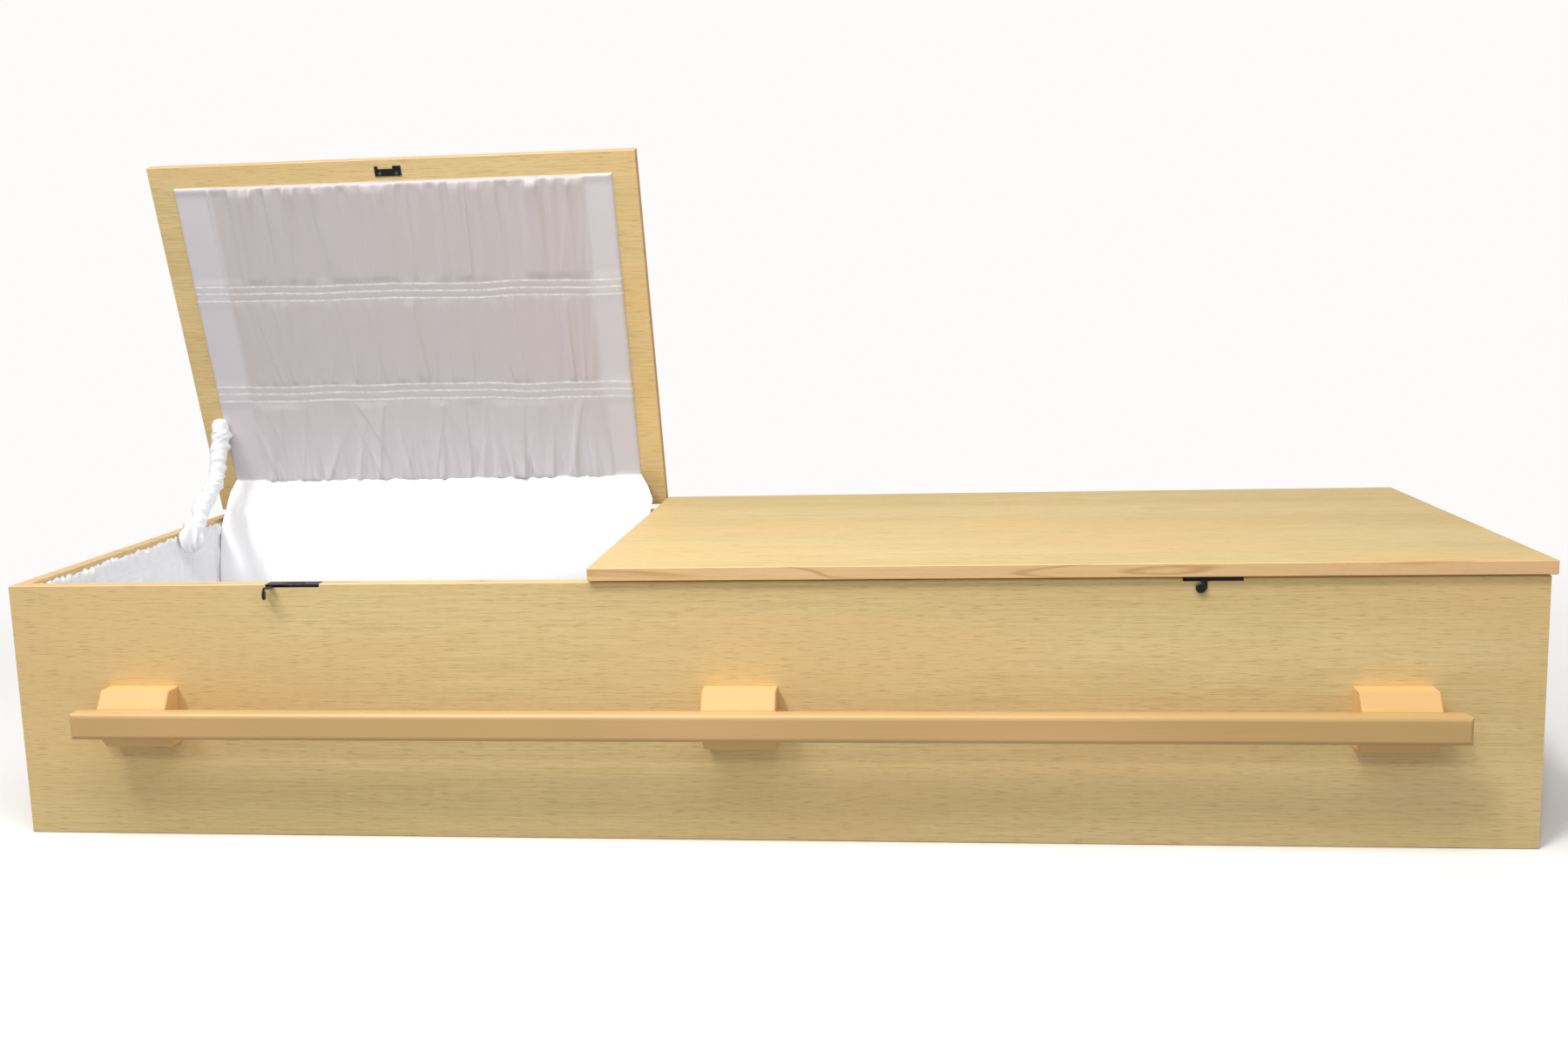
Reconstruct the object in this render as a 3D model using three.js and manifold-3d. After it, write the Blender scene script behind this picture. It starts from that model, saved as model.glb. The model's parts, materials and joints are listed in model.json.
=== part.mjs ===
// Half-couch casket in pale veneered board, with its head lid standing open and its foot lid closed.
//
// Millimetres, +Z up. X runs along the casket with the head end at -X, the front is at -Y and both lids
// hinge along the back. The origin is on the ground under the middle of the casket. A lid's own group
// has its origin on the hinge axis, and what belongs to the lid is placed there as if it were closed.

import * as THREE from 'three';
import { mergeVertices } from 'three/addons/utils/BufferGeometryUtils.js';
import Module from 'manifold-3d';

const wasm = await Module();
wasm.setup();

// Gap that is left between two pieces that touch
const seat = 0.3;

// Body: four mitred walls around a base board
const bodyLength = 2030;
const bodyWidth = 605;
const bodyHeight = 355;
const wallThickness = 19;
const baseThickness = 15;
const arris = 1;

// Lids: two flat boards that overhang the walls all round
const lidThickness = 18;
const lidOverhang = 6;
const lidLift = 2;
const headLidLength = 818;
const lidJointGap = 4;
const headLidOpenDegrees = 75;

// Butt hinges: leaves let into wall and lid, barrels just behind the lids
const leafThickness = 1.2;
const leafLength = 76;
const leafInset = 17;
const barrelRadius = 3.4;
const barrelClearance = 1.6;
const hingePinRadius = 1.4;
const hingePinPlay = 0.5;
const knucklePlay = 0.4;
const knuckleCount = 5;
const headHingeFromLidEnd = 130;
const footHingeFromLidEnd = 190;

// Rail handles: a long bar on three blocks, on the front and on the back
const barFromBodyEnd = 105;
const barHeight = 38.5;
const barThickness = 18;
const barRounding = 7.5;
const barBackRounding = 2;
const barEndRounding = 6;
const barCentreHeight = 172;
const blockLength = 98;
const blockFromBarEnd = 79;
const blockTopHeight = 213.5;
const blockBottomHeight = 134.5;
const blockShoulderDepth = 24;
const blockNoseDepth = 37;
const blockRounding = 1.5;

// Latches: a flat case let into the front wall's top edge, with a swinging thumb lever
const latchFromBodyEnd = 408;
const latchCaseLength = 75;
const latchCaseDepth = 17;
const latchCaseHeight = 4.3;
const latchFloor = 0.6;
const latchSlotHeight = 2.1;
const latchSlotLength = 32;
const latchSlotDepth = 14.5;
const latchSideWall = 1.2;
const boltSlotLength = 26;
const boltSlotWidth = 5;
const boltSlotShift = 3;
const leverPivotInset = 6.5;
const leverPivotDepth = 7;
const leverRootRadius = 4.8;
const leverThickness = 1.5;
const leverNeckWidth = 8;
const leverNeckStart = 15.5;
const leverNeckThickness = 2;
const leverStandOff = 0.6;
const leverDiscRadius = 6.8;
const leverDiscThickness = 4;
const leverDiscDrop = 10.6;
const headLeverOpenDegrees = 72;

// Keepers: notched plates under the lids' front rails, each with two sunk screws
const keeperLength = 44;
const keeperWidth = 16;
const keeperThickness = 1.3;
const keeperNotchLength = 25;
const keeperNotchDepth = 4.5;
const keeperNotchShift = -4;
const keeperShift = -4.5;
const keeperFromFrontEdge = 11;
const keeperScrewRadius = 2.6;
const keeperScrewPlay = 0.3;
const keeperScrewSpacing = 28;
const keeperScrewDepth = 0.9;

// Lid linings: flat padded panels, bordered by the bare board
const liningPanelThickness = 8;
const liningSideBorder = 40;
const liningFrontBorder = 35;
const liningBackBorder = 54;

// Body linings: thin cloth skins on the walls and a pad on the base
const skinThickness = 4.5;
const skinBelowWallTop = 7;
const padThickness = 12;
const padEdgeGap = 8;

// Apron: the cloth that falls from the lid lining's back edge down inside the back wall
const apronThickness = 4;
const apronInset = 3;
const apronHemHeight = 120;
const apronHemFromWall = 17;
const apronBulgeFromWall = 36;
const apronBulgeHeight = 300;
const apronCurveSteps = 24;

// Lid stay: two links in a cloth sleeve, between the head lid's stile and the head-end wall
const upperLinkLength = 105;
const lowerLinkLength = 128;
const stayLinkWidth = 11;
const stayLinkThickness = 2;
const stayPinRadius = 3;
const stayPinPlay = 0.3;
const stayPlaneFromWall = 12;
const lidPivotFromHinge = 172;
const lidPivotDrop = 18;
const wallPivotFromHinge = 195.5;
const wallPivotBelowTop = 8;
const stayLeafBeyondPivot = 6;
const stayLeafToHinge = 21;
const stayLeafThickness = 2;
const stayLeafInset = 1;
const stayBossRadius = 5;
const stayPlateThickness = 1.7;
const stayPlateSize = 22;
const stayPlateBelowTop = 2;
const sleeveDepth = 24;
const sleeveWidth = 13;
const sleeveCloth = 2.5;
const sleeveLidGap = 17;
const sleeveElbowGap = 16;
const sleeveWallGap = 26;

// Places worked out from the sizes above
const halfLength = bodyLength / 2;
const halfWidth = bodyWidth / 2;
const innerLength = bodyLength - 2 * wallThickness;
const innerWidth = bodyWidth - 2 * wallThickness;
const lidUnderside = bodyHeight + lidLift;
const lidBackEdge = halfWidth + lidOverhang;
const hingeY = lidBackEdge + barrelClearance + barrelRadius;
const hingeZ = bodyHeight + lidLift / 2;
const lidEnd = halfLength + lidOverhang;
const headLidEdge = -lidEnd + headLidLength;
const footLidEdge = headLidEdge + lidJointGap;
const barLength = bodyLength - 2 * barFromBodyEnd;
const blockSpacing = barLength / 2 - blockFromBarEnd;
const latchX = halfLength - latchFromBodyEnd;
const roundSegments = 24;

// Finishes
const finish = (colour, roughness, metalness = 0) =>
  new THREE.MeshStandardMaterial({ color: colour, roughness, metalness });
const veneer = finish(0xd8bd86, 0.55);
const handleWood = finish(0xf0d09c, 0.5);
const blackSteel = finish(0x1c1b1d, 0.45, 0.6);
const screwSteel = finish(0x8f8f92, 0.35, 0.9);
const satin = finish(0xf4f4f6, 0.6);

/** Radians for an angle in degrees. */
const radians = THREE.MathUtils.degToRad;

/** A closed outline through the given corners. */
function outline(corners) {
  return new THREE.Shape(corners.map(([a, b]) => new THREE.Vector2(a, b)));
}

/** A rectangle with its corners cut off by `cut`. */
function cutRectangle(a0, b0, a1, b1, cut) {
  return outline([
    [a0 + cut, b0], [a1 - cut, b0], [a1, b0 + cut], [a1, b1 - cut],
    [a1 - cut, b1], [a0 + cut, b1], [a0, b1 - cut], [a0, b0 + cut],
  ]);
}

/** A rectangle centred on the origin, with one corner radius or with four, from the lower right one round. */
function roundRectangle(width, height, ...radii) {
  const shape = new THREE.Shape();
  for (let corner = 0; corner < 4; corner += 1) {
    const radius = radii[corner % radii.length];
    const right = corner < 2 ? 1 : -1;
    const upper = corner === 1 || corner === 2 ? 1 : -1;
    const from = (corner - 1) * Math.PI / 2;
    const a = right * (width / 2 - radius);
    const b = upper * (height / 2 - radius);
    shape.absarc(a, b, radius, from, from + Math.PI / 2, false);
  }
  return shape;
}

/** A circle about (a, b). */
function circle(a, b, radius) {
  const shape = new THREE.Shape();
  shape.absarc(a, b, radius, 0, Math.PI * 2, false);
  return shape;
}

/** Extrudes an outline from 0 to `length` along its normal, with its end edges cut off by `bevel`. */
function prism(shape, length, bevel = 0) {
  const geometry = new THREE.ExtrudeGeometry(shape, {
    depth: length - 2 * bevel,
    curveSegments: roundSegments / 4,
    bevelEnabled: bevel > 0,
    bevelSegments: 1,
    bevelSize: bevel,
    bevelThickness: bevel,
    bevelOffset: -bevel,
  });
  return geometry.translate(0, 0, bevel);
}

/** Turns a prism of a (Y, Z) outline so that it runs along +X from x. */
function alongX(geometry, x = 0) {
  const axes = new THREE.Matrix4().set(0, 0, 1, x, 1, 0, 0, 0, 0, 1, 0, 0, 0, 0, 0, 1);
  return geometry.applyMatrix4(axes);
}

/** Turns a prism of an (X, Z) outline so that it runs along -Y from y. */
function alongMinusY(geometry, y = 0) {
  const axes = new THREE.Matrix4().set(1, 0, 0, 0, 0, 0, -1, y, 0, 1, 0, 0, 0, 0, 0, 1);
  return geometry.applyMatrix4(axes);
}

/** A block between two corners, with all its edges cut off by `cut`. */
function block([x0, y0, z0], [x1, y1, z1], cut = 0) {
  const shape = cut > 0
    ? cutRectangle(x0, y0, x1, y1, cut)
    : outline([[x0, y0], [x1, y0], [x1, y1], [x0, y1]]);
  return prism(shape, z1 - z0, cut).translate(0, 0, z0);
}

/** The closed solid of a geometry, for cutting and joining. */
function solid(geometry) {
  const bare = geometry.clone();
  bare.deleteAttribute('normal');
  bare.deleteAttribute('uv');
  const welded = mergeVertices(bare, 1e-4);
  return new wasm.Manifold(new wasm.Mesh({
    numProp: 3,
    vertProperties: new Float32Array(welded.attributes.position.array),
    triVerts: new Uint32Array(welded.index.array),
  }));
}

/** The geometry of a solid. */
function geometryOf(body) {
  const mesh = body.getMesh();
  const geometry = new THREE.BufferGeometry();
  geometry.setAttribute('position', new THREE.BufferAttribute(new Float32Array(mesh.vertProperties), 3));
  geometry.setIndex(new THREE.BufferAttribute(new Uint32Array(mesh.triVerts), 1));
  const flat = geometry.toNonIndexed();
  flat.computeVertexNormals();
  return flat;
}

/** Takes each cutter away from a geometry. */
function cutFrom(geometry, cutters) {
  return geometryOf(cutters.reduce((body, cutter) => body.subtract(solid(cutter)), solid(geometry)));
}

/** What geometries have in common. */
function overlap(geometries) {
  const [first, ...rest] = geometries.map(solid);
  return geometryOf(rest.reduce((body, next) => body.intersect(next), first));
}

/** Joins geometries into one solid. */
function join(geometries) {
  const [first, ...rest] = geometries.map(solid);
  return geometryOf(rest.reduce((body, next) => body.add(next), first));
}

const casket = new THREE.Group();
const headLidGroup = new THREE.Group();
const footLidGroup = new THREE.Group();
headLidGroup.position.set(0, hingeY, hingeZ);
headLidGroup.rotation.x = -radians(headLidOpenDegrees);
footLidGroup.position.set(0, hingeY, hingeZ);
casket.add(headLidGroup, footLidGroup);

/** Puts a named piece in a group. */
function place(group, name, geometry, material, [x, y, z] = [0, 0, 0], turnZ = 0) {
  const mesh = new THREE.Mesh(geometry, material);
  mesh.name = name;
  mesh.position.set(x, y, z);
  mesh.rotation.z = turnZ;
  group.add(mesh);
}

/** A point of a closed lid, given in the casket's frame, as its group has it. */
const onLid = ([x, y, z]) => [x, y - hingeY, z - hingeZ];

// Latch and hinge places, which the boards are cut for
const latches = [
  { name: 'head', x: -latchX, group: headLidGroup, openDegrees: headLeverOpenDegrees },
  { name: 'foot', x: latchX, group: footLidGroup, openDegrees: 0 },
];
const hinges = [
  { name: 'head_lid_hinge_1', x: -lidEnd + headHingeFromLidEnd, group: headLidGroup },
  { name: 'head_lid_hinge_2', x: headLidEdge - headHingeFromLidEnd, group: headLidGroup },
  { name: 'foot_lid_hinge_1', x: footLidEdge + footHingeFromLidEnd, group: footLidGroup },
  { name: 'foot_lid_hinge_2', x: lidEnd - footHingeFromLidEnd, group: footLidGroup },
];
const latchTop = bodyHeight;
const latchBottom = latchTop - latchCaseHeight;
const leafFront = halfWidth - leafInset;
const lidLeafLow = hingeZ + seat / 2;
const bodyLeafLow = hingeZ - seat / 2 - leafThickness;

/** The pocket that a latch case sits in, `seat` clear of it all round. */
function latchPocket({ x }) {
  const reach = latchCaseLength / 2 + seat;
  return block([x - reach, -halfWidth - 1, latchBottom - seat],
    [x + reach, -halfWidth + latchCaseDepth + seat, latchTop + 1]);
}

/** The pocket that a hinge leaf sits in, between two heights. */
function leafPocket({ x }, low, high, backY) {
  const reach = leafLength / 2 + seat;
  return block([x - reach, leafFront - seat, low], [x + reach, backY, high]);
}

/** A wall board, its outer face at y = 0 and the casket's inside at +Y, mitred at both ends. */
function wallBoard(length) {
  const section = outline([
    [arris, 0], [wallThickness, 0], [wallThickness, bodyHeight - arris],
    [wallThickness - arris, bodyHeight], [arris, bodyHeight], [0, bodyHeight - arris], [0, arris],
  ]);
  const geometry = alongX(prism(section, length), -length / 2);
  const places = geometry.attributes.position;
  const half = length / 2 - seat * Math.SQRT1_2;
  for (let i = 0; i < places.count; i += 1) {
    places.setX(i, Math.sign(places.getX(i)) * (half - places.getY(i)));
  }
  return geometry;
}

function addBody() {
  const front = cutFrom(wallBoard(bodyLength).translate(0, -halfWidth, 0), latches.map(latchPocket));
  const back = cutFrom(
    wallBoard(bodyLength).rotateZ(Math.PI).translate(0, halfWidth, 0),
    hinges.map((hinge) => leafPocket(hinge, bodyLeafLow - seat, bodyHeight + 1, halfWidth + 1)),
  );
  place(casket, 'body_front', front, veneer);
  place(casket, 'body_back', back, veneer);
  place(casket, 'body_head_end', wallBoard(bodyWidth), veneer, [-halfLength, 0, 0], -Math.PI / 2);
  place(casket, 'body_foot_end', wallBoard(bodyWidth), veneer, [halfLength, 0, 0], Math.PI / 2);
  const baseX = innerLength / 2 - seat;
  const baseY = innerWidth / 2 - seat;
  place(casket, 'body_base', block([-baseX, -baseY, 0], [baseX, baseY, baseThickness]), veneer);
}

/** A lid board between two places along X, with pockets for its hinge leaves. */
function lidBoard(x0, x1, group) {
  const board = block(onLid([x0, -lidBackEdge, lidUnderside]),
    onLid([x1, lidBackEdge, lidUnderside + lidThickness]), arris);
  const pocketTop = lidLeafLow + leafThickness + seat - hingeZ;
  const pockets = hinges.filter((hinge) => hinge.group === group)
    .map((hinge) => leafPocket(hinge, 0, pocketTop, lidBackEdge + 1).translate(0, -hingeY, 0));
  return cutFrom(board, pockets);
}

/** A lining panel under the lid board that spans x0 to x1. */
function liningPanel(x0, x1) {
  const top = lidUnderside - seat;
  return block(onLid([x0 + liningSideBorder, -lidBackEdge + liningFrontBorder, top - liningPanelThickness]),
    onLid([x1 - liningSideBorder, lidBackEdge - liningBackBorder, top]), arris);
}

function addLids() {
  place(headLidGroup, 'head_lid', lidBoard(-lidEnd, headLidEdge, headLidGroup), veneer);
  place(footLidGroup, 'foot_lid', lidBoard(footLidEdge, lidEnd, footLidGroup), veneer);
  place(headLidGroup, 'head_lid_lining', liningPanel(-lidEnd, headLidEdge), satin);
  place(footLidGroup, 'foot_lid_lining', liningPanel(footLidEdge, lidEnd), satin);
}

/** One knuckle of a hinge barrel about the axis y = 0, z = 0, with the strip that joins it to its leaf. */
function knuckle(x0, x1, leafLow, boreRadius) {
  const strip = block([x0, -(barrelRadius + barrelClearance), leafLow], [x1, 0, leafLow + leafThickness]);
  const ring = alongX(prism(circle(0, 0, barrelRadius), x1 - x0), x0);
  const joined = join([ring, strip]);
  if (boreRadius === 0) return joined;
  return cutFrom(joined, [alongX(prism(circle(0, 0, boreRadius), x1 - x0 + 2), x0 - 1)]);
}

/** A hinge leaf with every second knuckle from `first`, about the axis y = 0, z = 0. */
function hingeLeaf(leafLow, first, boreRadius) {
  const pitch = leafLength / knuckleCount;
  const plate = block([-leafLength / 2, leafFront - hingeY, leafLow],
    [leafLength / 2, -(barrelRadius + barrelClearance / 2), leafLow + leafThickness]);
  const parts = [plate];
  for (let i = first; i < knuckleCount; i += 2) {
    const x0 = -leafLength / 2 + i * pitch + (i > 0 ? knucklePlay / 2 : 0);
    const x1 = -leafLength / 2 + (i + 1) * pitch - (i < knuckleCount - 1 ? knucklePlay / 2 : 0);
    parts.push(knuckle(x0, x1, leafLow, boreRadius));
  }
  return parts;
}

function addHinges() {
  const pin = alongX(prism(circle(0, 0, hingePinRadius), leafLength), -leafLength / 2);
  const bodyLeaf = join([...hingeLeaf(bodyLeafLow - hingeZ, 0, 0), pin]);
  const lidLeaf = join(hingeLeaf(lidLeafLow - hingeZ, 1, hingePinRadius + hingePinPlay));
  for (const hinge of hinges) {
    place(casket, `${hinge.name}_body_leaf`, bodyLeaf, blackSteel, [hinge.x, hingeY, hingeZ]);
    place(hinge.group, `${hinge.name}_lid_leaf`, lidLeaf, blackSteel, [hinge.x, 0, 0]);
  }
}

/** A handle block's side outline, the wall's face at y = 0, run on past it by `past`. */
function blockOutline(past) {
  const barTop = barCentreHeight + barHeight / 2;
  const barBottom = barCentreHeight - barHeight / 2;
  return outline([
    [past, blockBottomHeight], [-blockShoulderDepth, blockBottomHeight], [-blockNoseDepth, barBottom],
    [-blockNoseDepth, barTop], [-blockShoulderDepth, blockTopHeight], [past, blockTopHeight],
  ]);
}

/** A rail handle's bar about its middle, its front edges and its ends rounded. */
function handleBar() {
  const front = barRounding;
  const back = barBackRounding;
  const end = barEndRounding;
  const section = roundRectangle(barThickness, barHeight, back, back, front, front);
  const plan = roundRectangle(barLength, barThickness, end, back, back, end);
  const elevation = roundRectangle(barLength, barHeight, end);
  return overlap([
    alongX(prism(section, barLength), -barLength / 2),
    prism(plan, barHeight).translate(0, 0, -barHeight / 2),
    alongMinusY(prism(elevation, barThickness), barThickness / 2),
  ]);
}

function addHandles() {
  const past = 2 * blockRounding;
  const uncut = alongX(prism(blockOutline(past), blockLength, blockRounding), -blockLength / 2);
  const wallSide = block([-blockLength, -seat, 0], [blockLength, past + 1, bodyHeight]);
  const handleBlock = cutFrom(uncut, [wallSide]);
  const bar = handleBar();
  const barDepth = blockNoseDepth + seat + barThickness / 2;
  const sides = [{ name: 'front', turn: 0, sign: -1 }, { name: 'back', turn: Math.PI, sign: 1 }];
  const places = [
    { name: 'head', x: -blockSpacing },
    { name: 'middle', x: 0 },
    { name: 'foot', x: blockSpacing },
  ];
  for (const side of sides) {
    const barY = side.sign * (halfWidth + barDepth);
    place(casket, `${side.name}_handle_bar`, bar, handleWood, [0, barY, barCentreHeight], side.turn);
    for (const spot of places) {
      const at = [spot.x, side.sign * halfWidth, 0];
      place(casket, `${side.name}_handle_block_${spot.name}`, handleBlock, handleWood, at, side.turn);
    }
  }
}

/** A latch case about the middle of its length, its front at y = 0 and its bottom at z = 0. */
function latchCase() {
  const left = -latchCaseLength / 2;
  const body = block([left, 0, 0], [-left, latchCaseDepth, latchCaseHeight], seat);
  const slot = block([left + latchSideWall, -1, latchFloor],
    [left + latchSlotLength, latchSlotDepth, latchFloor + latchSlotHeight]);
  const boltMiddle = latchCaseDepth / 2;
  const bolt = block([boltSlotShift - boltSlotLength / 2, boltMiddle - boltSlotWidth / 2, latchFloor],
    [boltSlotShift + boltSlotLength / 2, boltMiddle + boltSlotWidth / 2, latchCaseHeight + 1]);
  return cutFrom(body, [slot, bolt]);
}

/** A thumb lever about its pivot, closed, with its arm's underside at z = 0. */
function latchLever() {
  const neckEnd = leverNeckStart + leverNeckWidth;
  const neckBack = -(leverPivotDepth + leverStandOff);
  const neckFront = neckBack - leverNeckThickness;
  const root = prism(circle(0, 0, leverRootRadius), leverThickness);
  const arm = prism(outline([
    [0, -leverRootRadius], [leverNeckStart, -leverRootRadius], [leverNeckStart, neckFront],
    [neckEnd, neckFront], [neckEnd, -leverRootRadius / 2], [0, leverRootRadius],
  ]), leverThickness);
  const neck = block([leverNeckStart, neckFront, -leverDiscDrop], [neckEnd, neckBack, leverThickness]);
  const discShape = circle(leverNeckStart, leverThickness - leverDiscDrop, leverDiscRadius);
  const disc = alongMinusY(prism(discShape, leverDiscThickness, arris), neckBack);
  return join([root, arm, neck, disc]);
}

function addLatches() {
  const lever = latchLever();
  const caseSolid = latchCase();
  const leverZ = latchBottom + latchFloor + (latchSlotHeight - leverThickness) / 2;
  for (const latch of latches) {
    place(casket, `${latch.name}_latch_case`, caseSolid, blackSteel, [latch.x, -halfWidth, latchBottom]);
    const pivot = [latch.x - latchCaseLength / 2 + leverPivotInset, -halfWidth + leverPivotDepth, leverZ];
    place(casket, `${latch.name}_latch_lever`, lever, blackSteel, pivot, -radians(latch.openDegrees));
  }
}

/** A keeper plate about its middle, its front edge towards -Y and its top at z = 0. */
function keeperPlate() {
  const plate = block([-keeperLength / 2, -keeperWidth / 2, -keeperThickness],
    [keeperLength / 2, keeperWidth / 2, 0]);
  const notchLeft = keeperNotchShift - keeperNotchLength / 2;
  const notch = block([notchLeft, -keeperWidth, -keeperThickness - 1],
    [notchLeft + keeperNotchLength, -keeperWidth / 2 + keeperNotchDepth, 1]);
  const holes = [-1, 1].map((side) => prism(
    circle(side * keeperScrewSpacing / 2, keeperWidth / 4, keeperScrewRadius + keeperScrewPlay),
    keeperScrewDepth + 1,
  ).translate(0, 0, -keeperThickness - 1));
  return cutFrom(plate, [notch, ...holes]);
}

function addKeepers() {
  const plate = keeperPlate();
  const screw = prism(circle(0, 0, keeperScrewRadius), keeperScrewDepth - seat, seat / 2);
  for (const latch of latches) {
    const middle = -lidBackEdge + keeperFromFrontEdge + keeperWidth / 2;
    const [x, y, z] = onLid([latch.x + keeperShift, middle, lidUnderside - seat]);
    place(latch.group, `${latch.name}_lid_keeper`, plate, blackSteel, [x, y, z]);
    [-1, 1].forEach((side, index) => {
      const at = [x + side * keeperScrewSpacing / 2, y + keeperWidth / 4, z - keeperThickness];
      place(latch.group, `${latch.name}_keeper_screw_${index + 1}`, screw, screwSteel, at);
    });
  }
}

/** Where a point of the closed lid goes when the head lid stands open. */
function openedPoint(y, z) {
  const point = new THREE.Vector2(y, z);
  point.rotateAround(new THREE.Vector2(hingeY, hingeZ), -radians(headLidOpenDegrees));
  return [point.x, point.y];
}

/** Where the stay's two links meet, on the hinge's side of the line between its outer pivots. */
function elbowPoint([lidY, lidZ], [wallY, wallZ]) {
  const span = Math.hypot(wallY - lidY, wallZ - lidZ);
  const along = (upperLinkLength ** 2 - lowerLinkLength ** 2 + span ** 2) / (2 * span);
  const aside = Math.sqrt(upperLinkLength ** 2 - along ** 2);
  const [towardsY, towardsZ] = [(wallY - lidY) / span, (wallZ - lidZ) / span];
  return [lidY + towardsY * along - towardsZ * aside, lidZ + towardsZ * along + towardsY * aside];
}

/** A link's plate from one pivot to the other, as a (Y, Z) outline with round ends. */
function linkOutline([y0, z0], [y1, z1], width) {
  const heading = Math.atan2(z1 - z0, y1 - y0);
  const shape = new THREE.Shape();
  shape.absarc(y1, z1, width / 2, heading - Math.PI / 2, heading + Math.PI / 2, false);
  shape.absarc(y0, z0, width / 2, heading + Math.PI / 2, heading + Math.PI * 1.5, false);
  return shape;
}

/** A sleeve around a link, between two distances from its first pivot, open at both ends. */
function sleeveTube([y0, z0], [y1, z1], from, to, x) {
  const wide = roundRectangle(sleeveWidth, sleeveDepth, sleeveWidth / 2 - seat);
  const hole = roundRectangle(sleeveWidth - 2 * sleeveCloth, sleeveDepth - 2 * sleeveCloth,
    sleeveWidth / 2 - sleeveCloth - seat);
  wide.holes.push(new THREE.Path(hole.getPoints(roundSegments / 4)));
  const heading = Math.atan2(z1 - z0, y1 - y0);
  return prism(wide, to - from).translate(0, 0, from)
    .rotateX(heading - Math.PI / 2).translate(x, y0, z0);
}

function addStay() {
  const innerWallX = -halfLength + wallThickness;
  const planeX = innerWallX + stayPlaneFromWall;
  const lidPivot = openedPoint(hingeY - lidPivotFromHinge, lidUnderside - lidPivotDrop);
  const wallPivot = [hingeY - wallPivotFromHinge, bodyHeight - wallPivotBelowTop];
  const elbow = elbowPoint(lidPivot, wallPivot);
  const upperX = planeX - stayLinkThickness - seat;
  const lowerX = planeX + seat;
  const pinHole = stayPinRadius + stayPinPlay;

  // The upper link carries the pins at both of its ends
  const earX = upperX - seat - stayLeafThickness;
  const upperPlate = alongX(prism(linkOutline(elbow, lidPivot, stayLinkWidth), stayLinkThickness), upperX);
  const lidPin = alongX(prism(circle(...lidPivot, stayPinRadius), upperX - earX + seat), earX);
  const elbowPin = alongX(prism(circle(...elbow, stayPinRadius),
    2 * stayLinkThickness + 2 * seat), upperX + seat);
  place(casket, 'stay_upper_link', join([upperPlate, lidPin, elbowPin]), blackSteel);

  const lowerPlate = alongX(prism(linkOutline(wallPivot, elbow, stayLinkWidth), stayLinkThickness), lowerX);
  const elbowHole = alongX(prism(circle(...elbow, pinHole), stayLinkThickness + 2), lowerX - 1);
  place(casket, 'stay_lower_link', cutFrom(lowerPlate, [elbowHole]), blackSteel);

  // Bracket under the lid: a leaf along the stile and an ear that the upper link hangs on
  const leafX = innerWallX + stayLeafInset;
  const liningEdge = -lidEnd + liningSideBorder;
  const [, pivotY, pivotZ] = onLid([0, hingeY - lidPivotFromHinge, lidUnderside - lidPivotDrop]);
  const leafTop = lidUnderside - seat - hingeZ;
  const leaf = block([leafX, pivotY - stayLeafBeyondPivot, leafTop - stayLeafThickness],
    [liningEdge - seat, pivotY + stayLeafToHinge, leafTop]);
  const earTip = stayLinkWidth / 2;
  const earFoot = stayLinkWidth;
  const earShape = outline([
    [pivotY - earTip, pivotZ - earTip], [pivotY + earTip, pivotZ - earTip],
    [pivotY + earFoot, leafTop - seat], [pivotY - earTip, leafTop - seat],
  ]);
  const ear = alongX(prism(earShape, stayLeafThickness), earX);
  const earHole = alongX(prism(circle(pivotY, pivotZ, pinHole), stayLeafThickness + 2), earX - 1);
  place(headLidGroup, 'stay_lid_bracket', cutFrom(join([leaf, ear]), [earHole]), blackSteel);

  // Bracket on the wall: a plate over the lining and a boss that ends just short of the lower link
  const plateX = innerWallX + skinThickness + 2 * seat;
  const plateReach = stayPlateSize / 2;
  const plate = block([plateX, wallPivot[0] - plateReach, wallPivot[1] - plateReach],
    [plateX + stayPlateThickness, wallPivot[0] + plateReach, bodyHeight - stayPlateBelowTop], seat);
  const bossX = plateX + seat;
  const boss = alongX(prism(circle(...wallPivot, stayBossRadius), lowerX - seat - bossX), bossX);
  place(casket, 'stay_wall_bracket', join([plate, boss]), blackSteel);

  // Cloth sleeve, in a length on each link
  place(casket, 'stay_sleeve_upper',
    sleeveTube(lidPivot, elbow, sleeveLidGap, upperLinkLength - sleeveElbowGap, planeX), satin);
  place(casket, 'stay_sleeve_lower',
    sleeveTube(elbow, wallPivot, sleeveElbowGap, lowerLinkLength - sleeveWallGap, planeX), satin);
}

function addBodyLinings() {
  const skinTop = bodyHeight - skinBelowWallTop;
  const padTop = baseThickness + seat + padThickness;
  const outerX = innerLength / 2 - seat;
  const outerY = innerWidth / 2 - seat;
  const skinLow = baseThickness + seat;
  const endSkin = (sign) => {
    const x = [sign * outerX, sign * (outerX - skinThickness)].sort((a, b) => a - b);
    return block([x[0], -outerY, skinLow], [x[1], outerY, skinTop]);
  };
  const sideReach = outerX - skinThickness - seat;
  const sideSkin = (sign) => {
    const y = [sign * outerY, sign * (outerY - skinThickness)].sort((a, b) => a - b);
    return block([-sideReach, y[0], skinLow], [sideReach, y[1], skinTop]);
  };
  place(casket, 'head_end_lining', endSkin(-1), satin);
  place(casket, 'foot_end_lining', endSkin(1), satin);
  place(casket, 'front_lining', sideSkin(-1), satin);
  place(casket, 'back_lining', sideSkin(1), satin);
  const padX = sideReach - padEdgeGap;
  const padY = outerY - skinThickness - padEdgeGap;
  place(casket, 'floor_lining', block([-padX, -padY, skinLow], [padX, padY, padTop], arris), satin);
}

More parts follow.
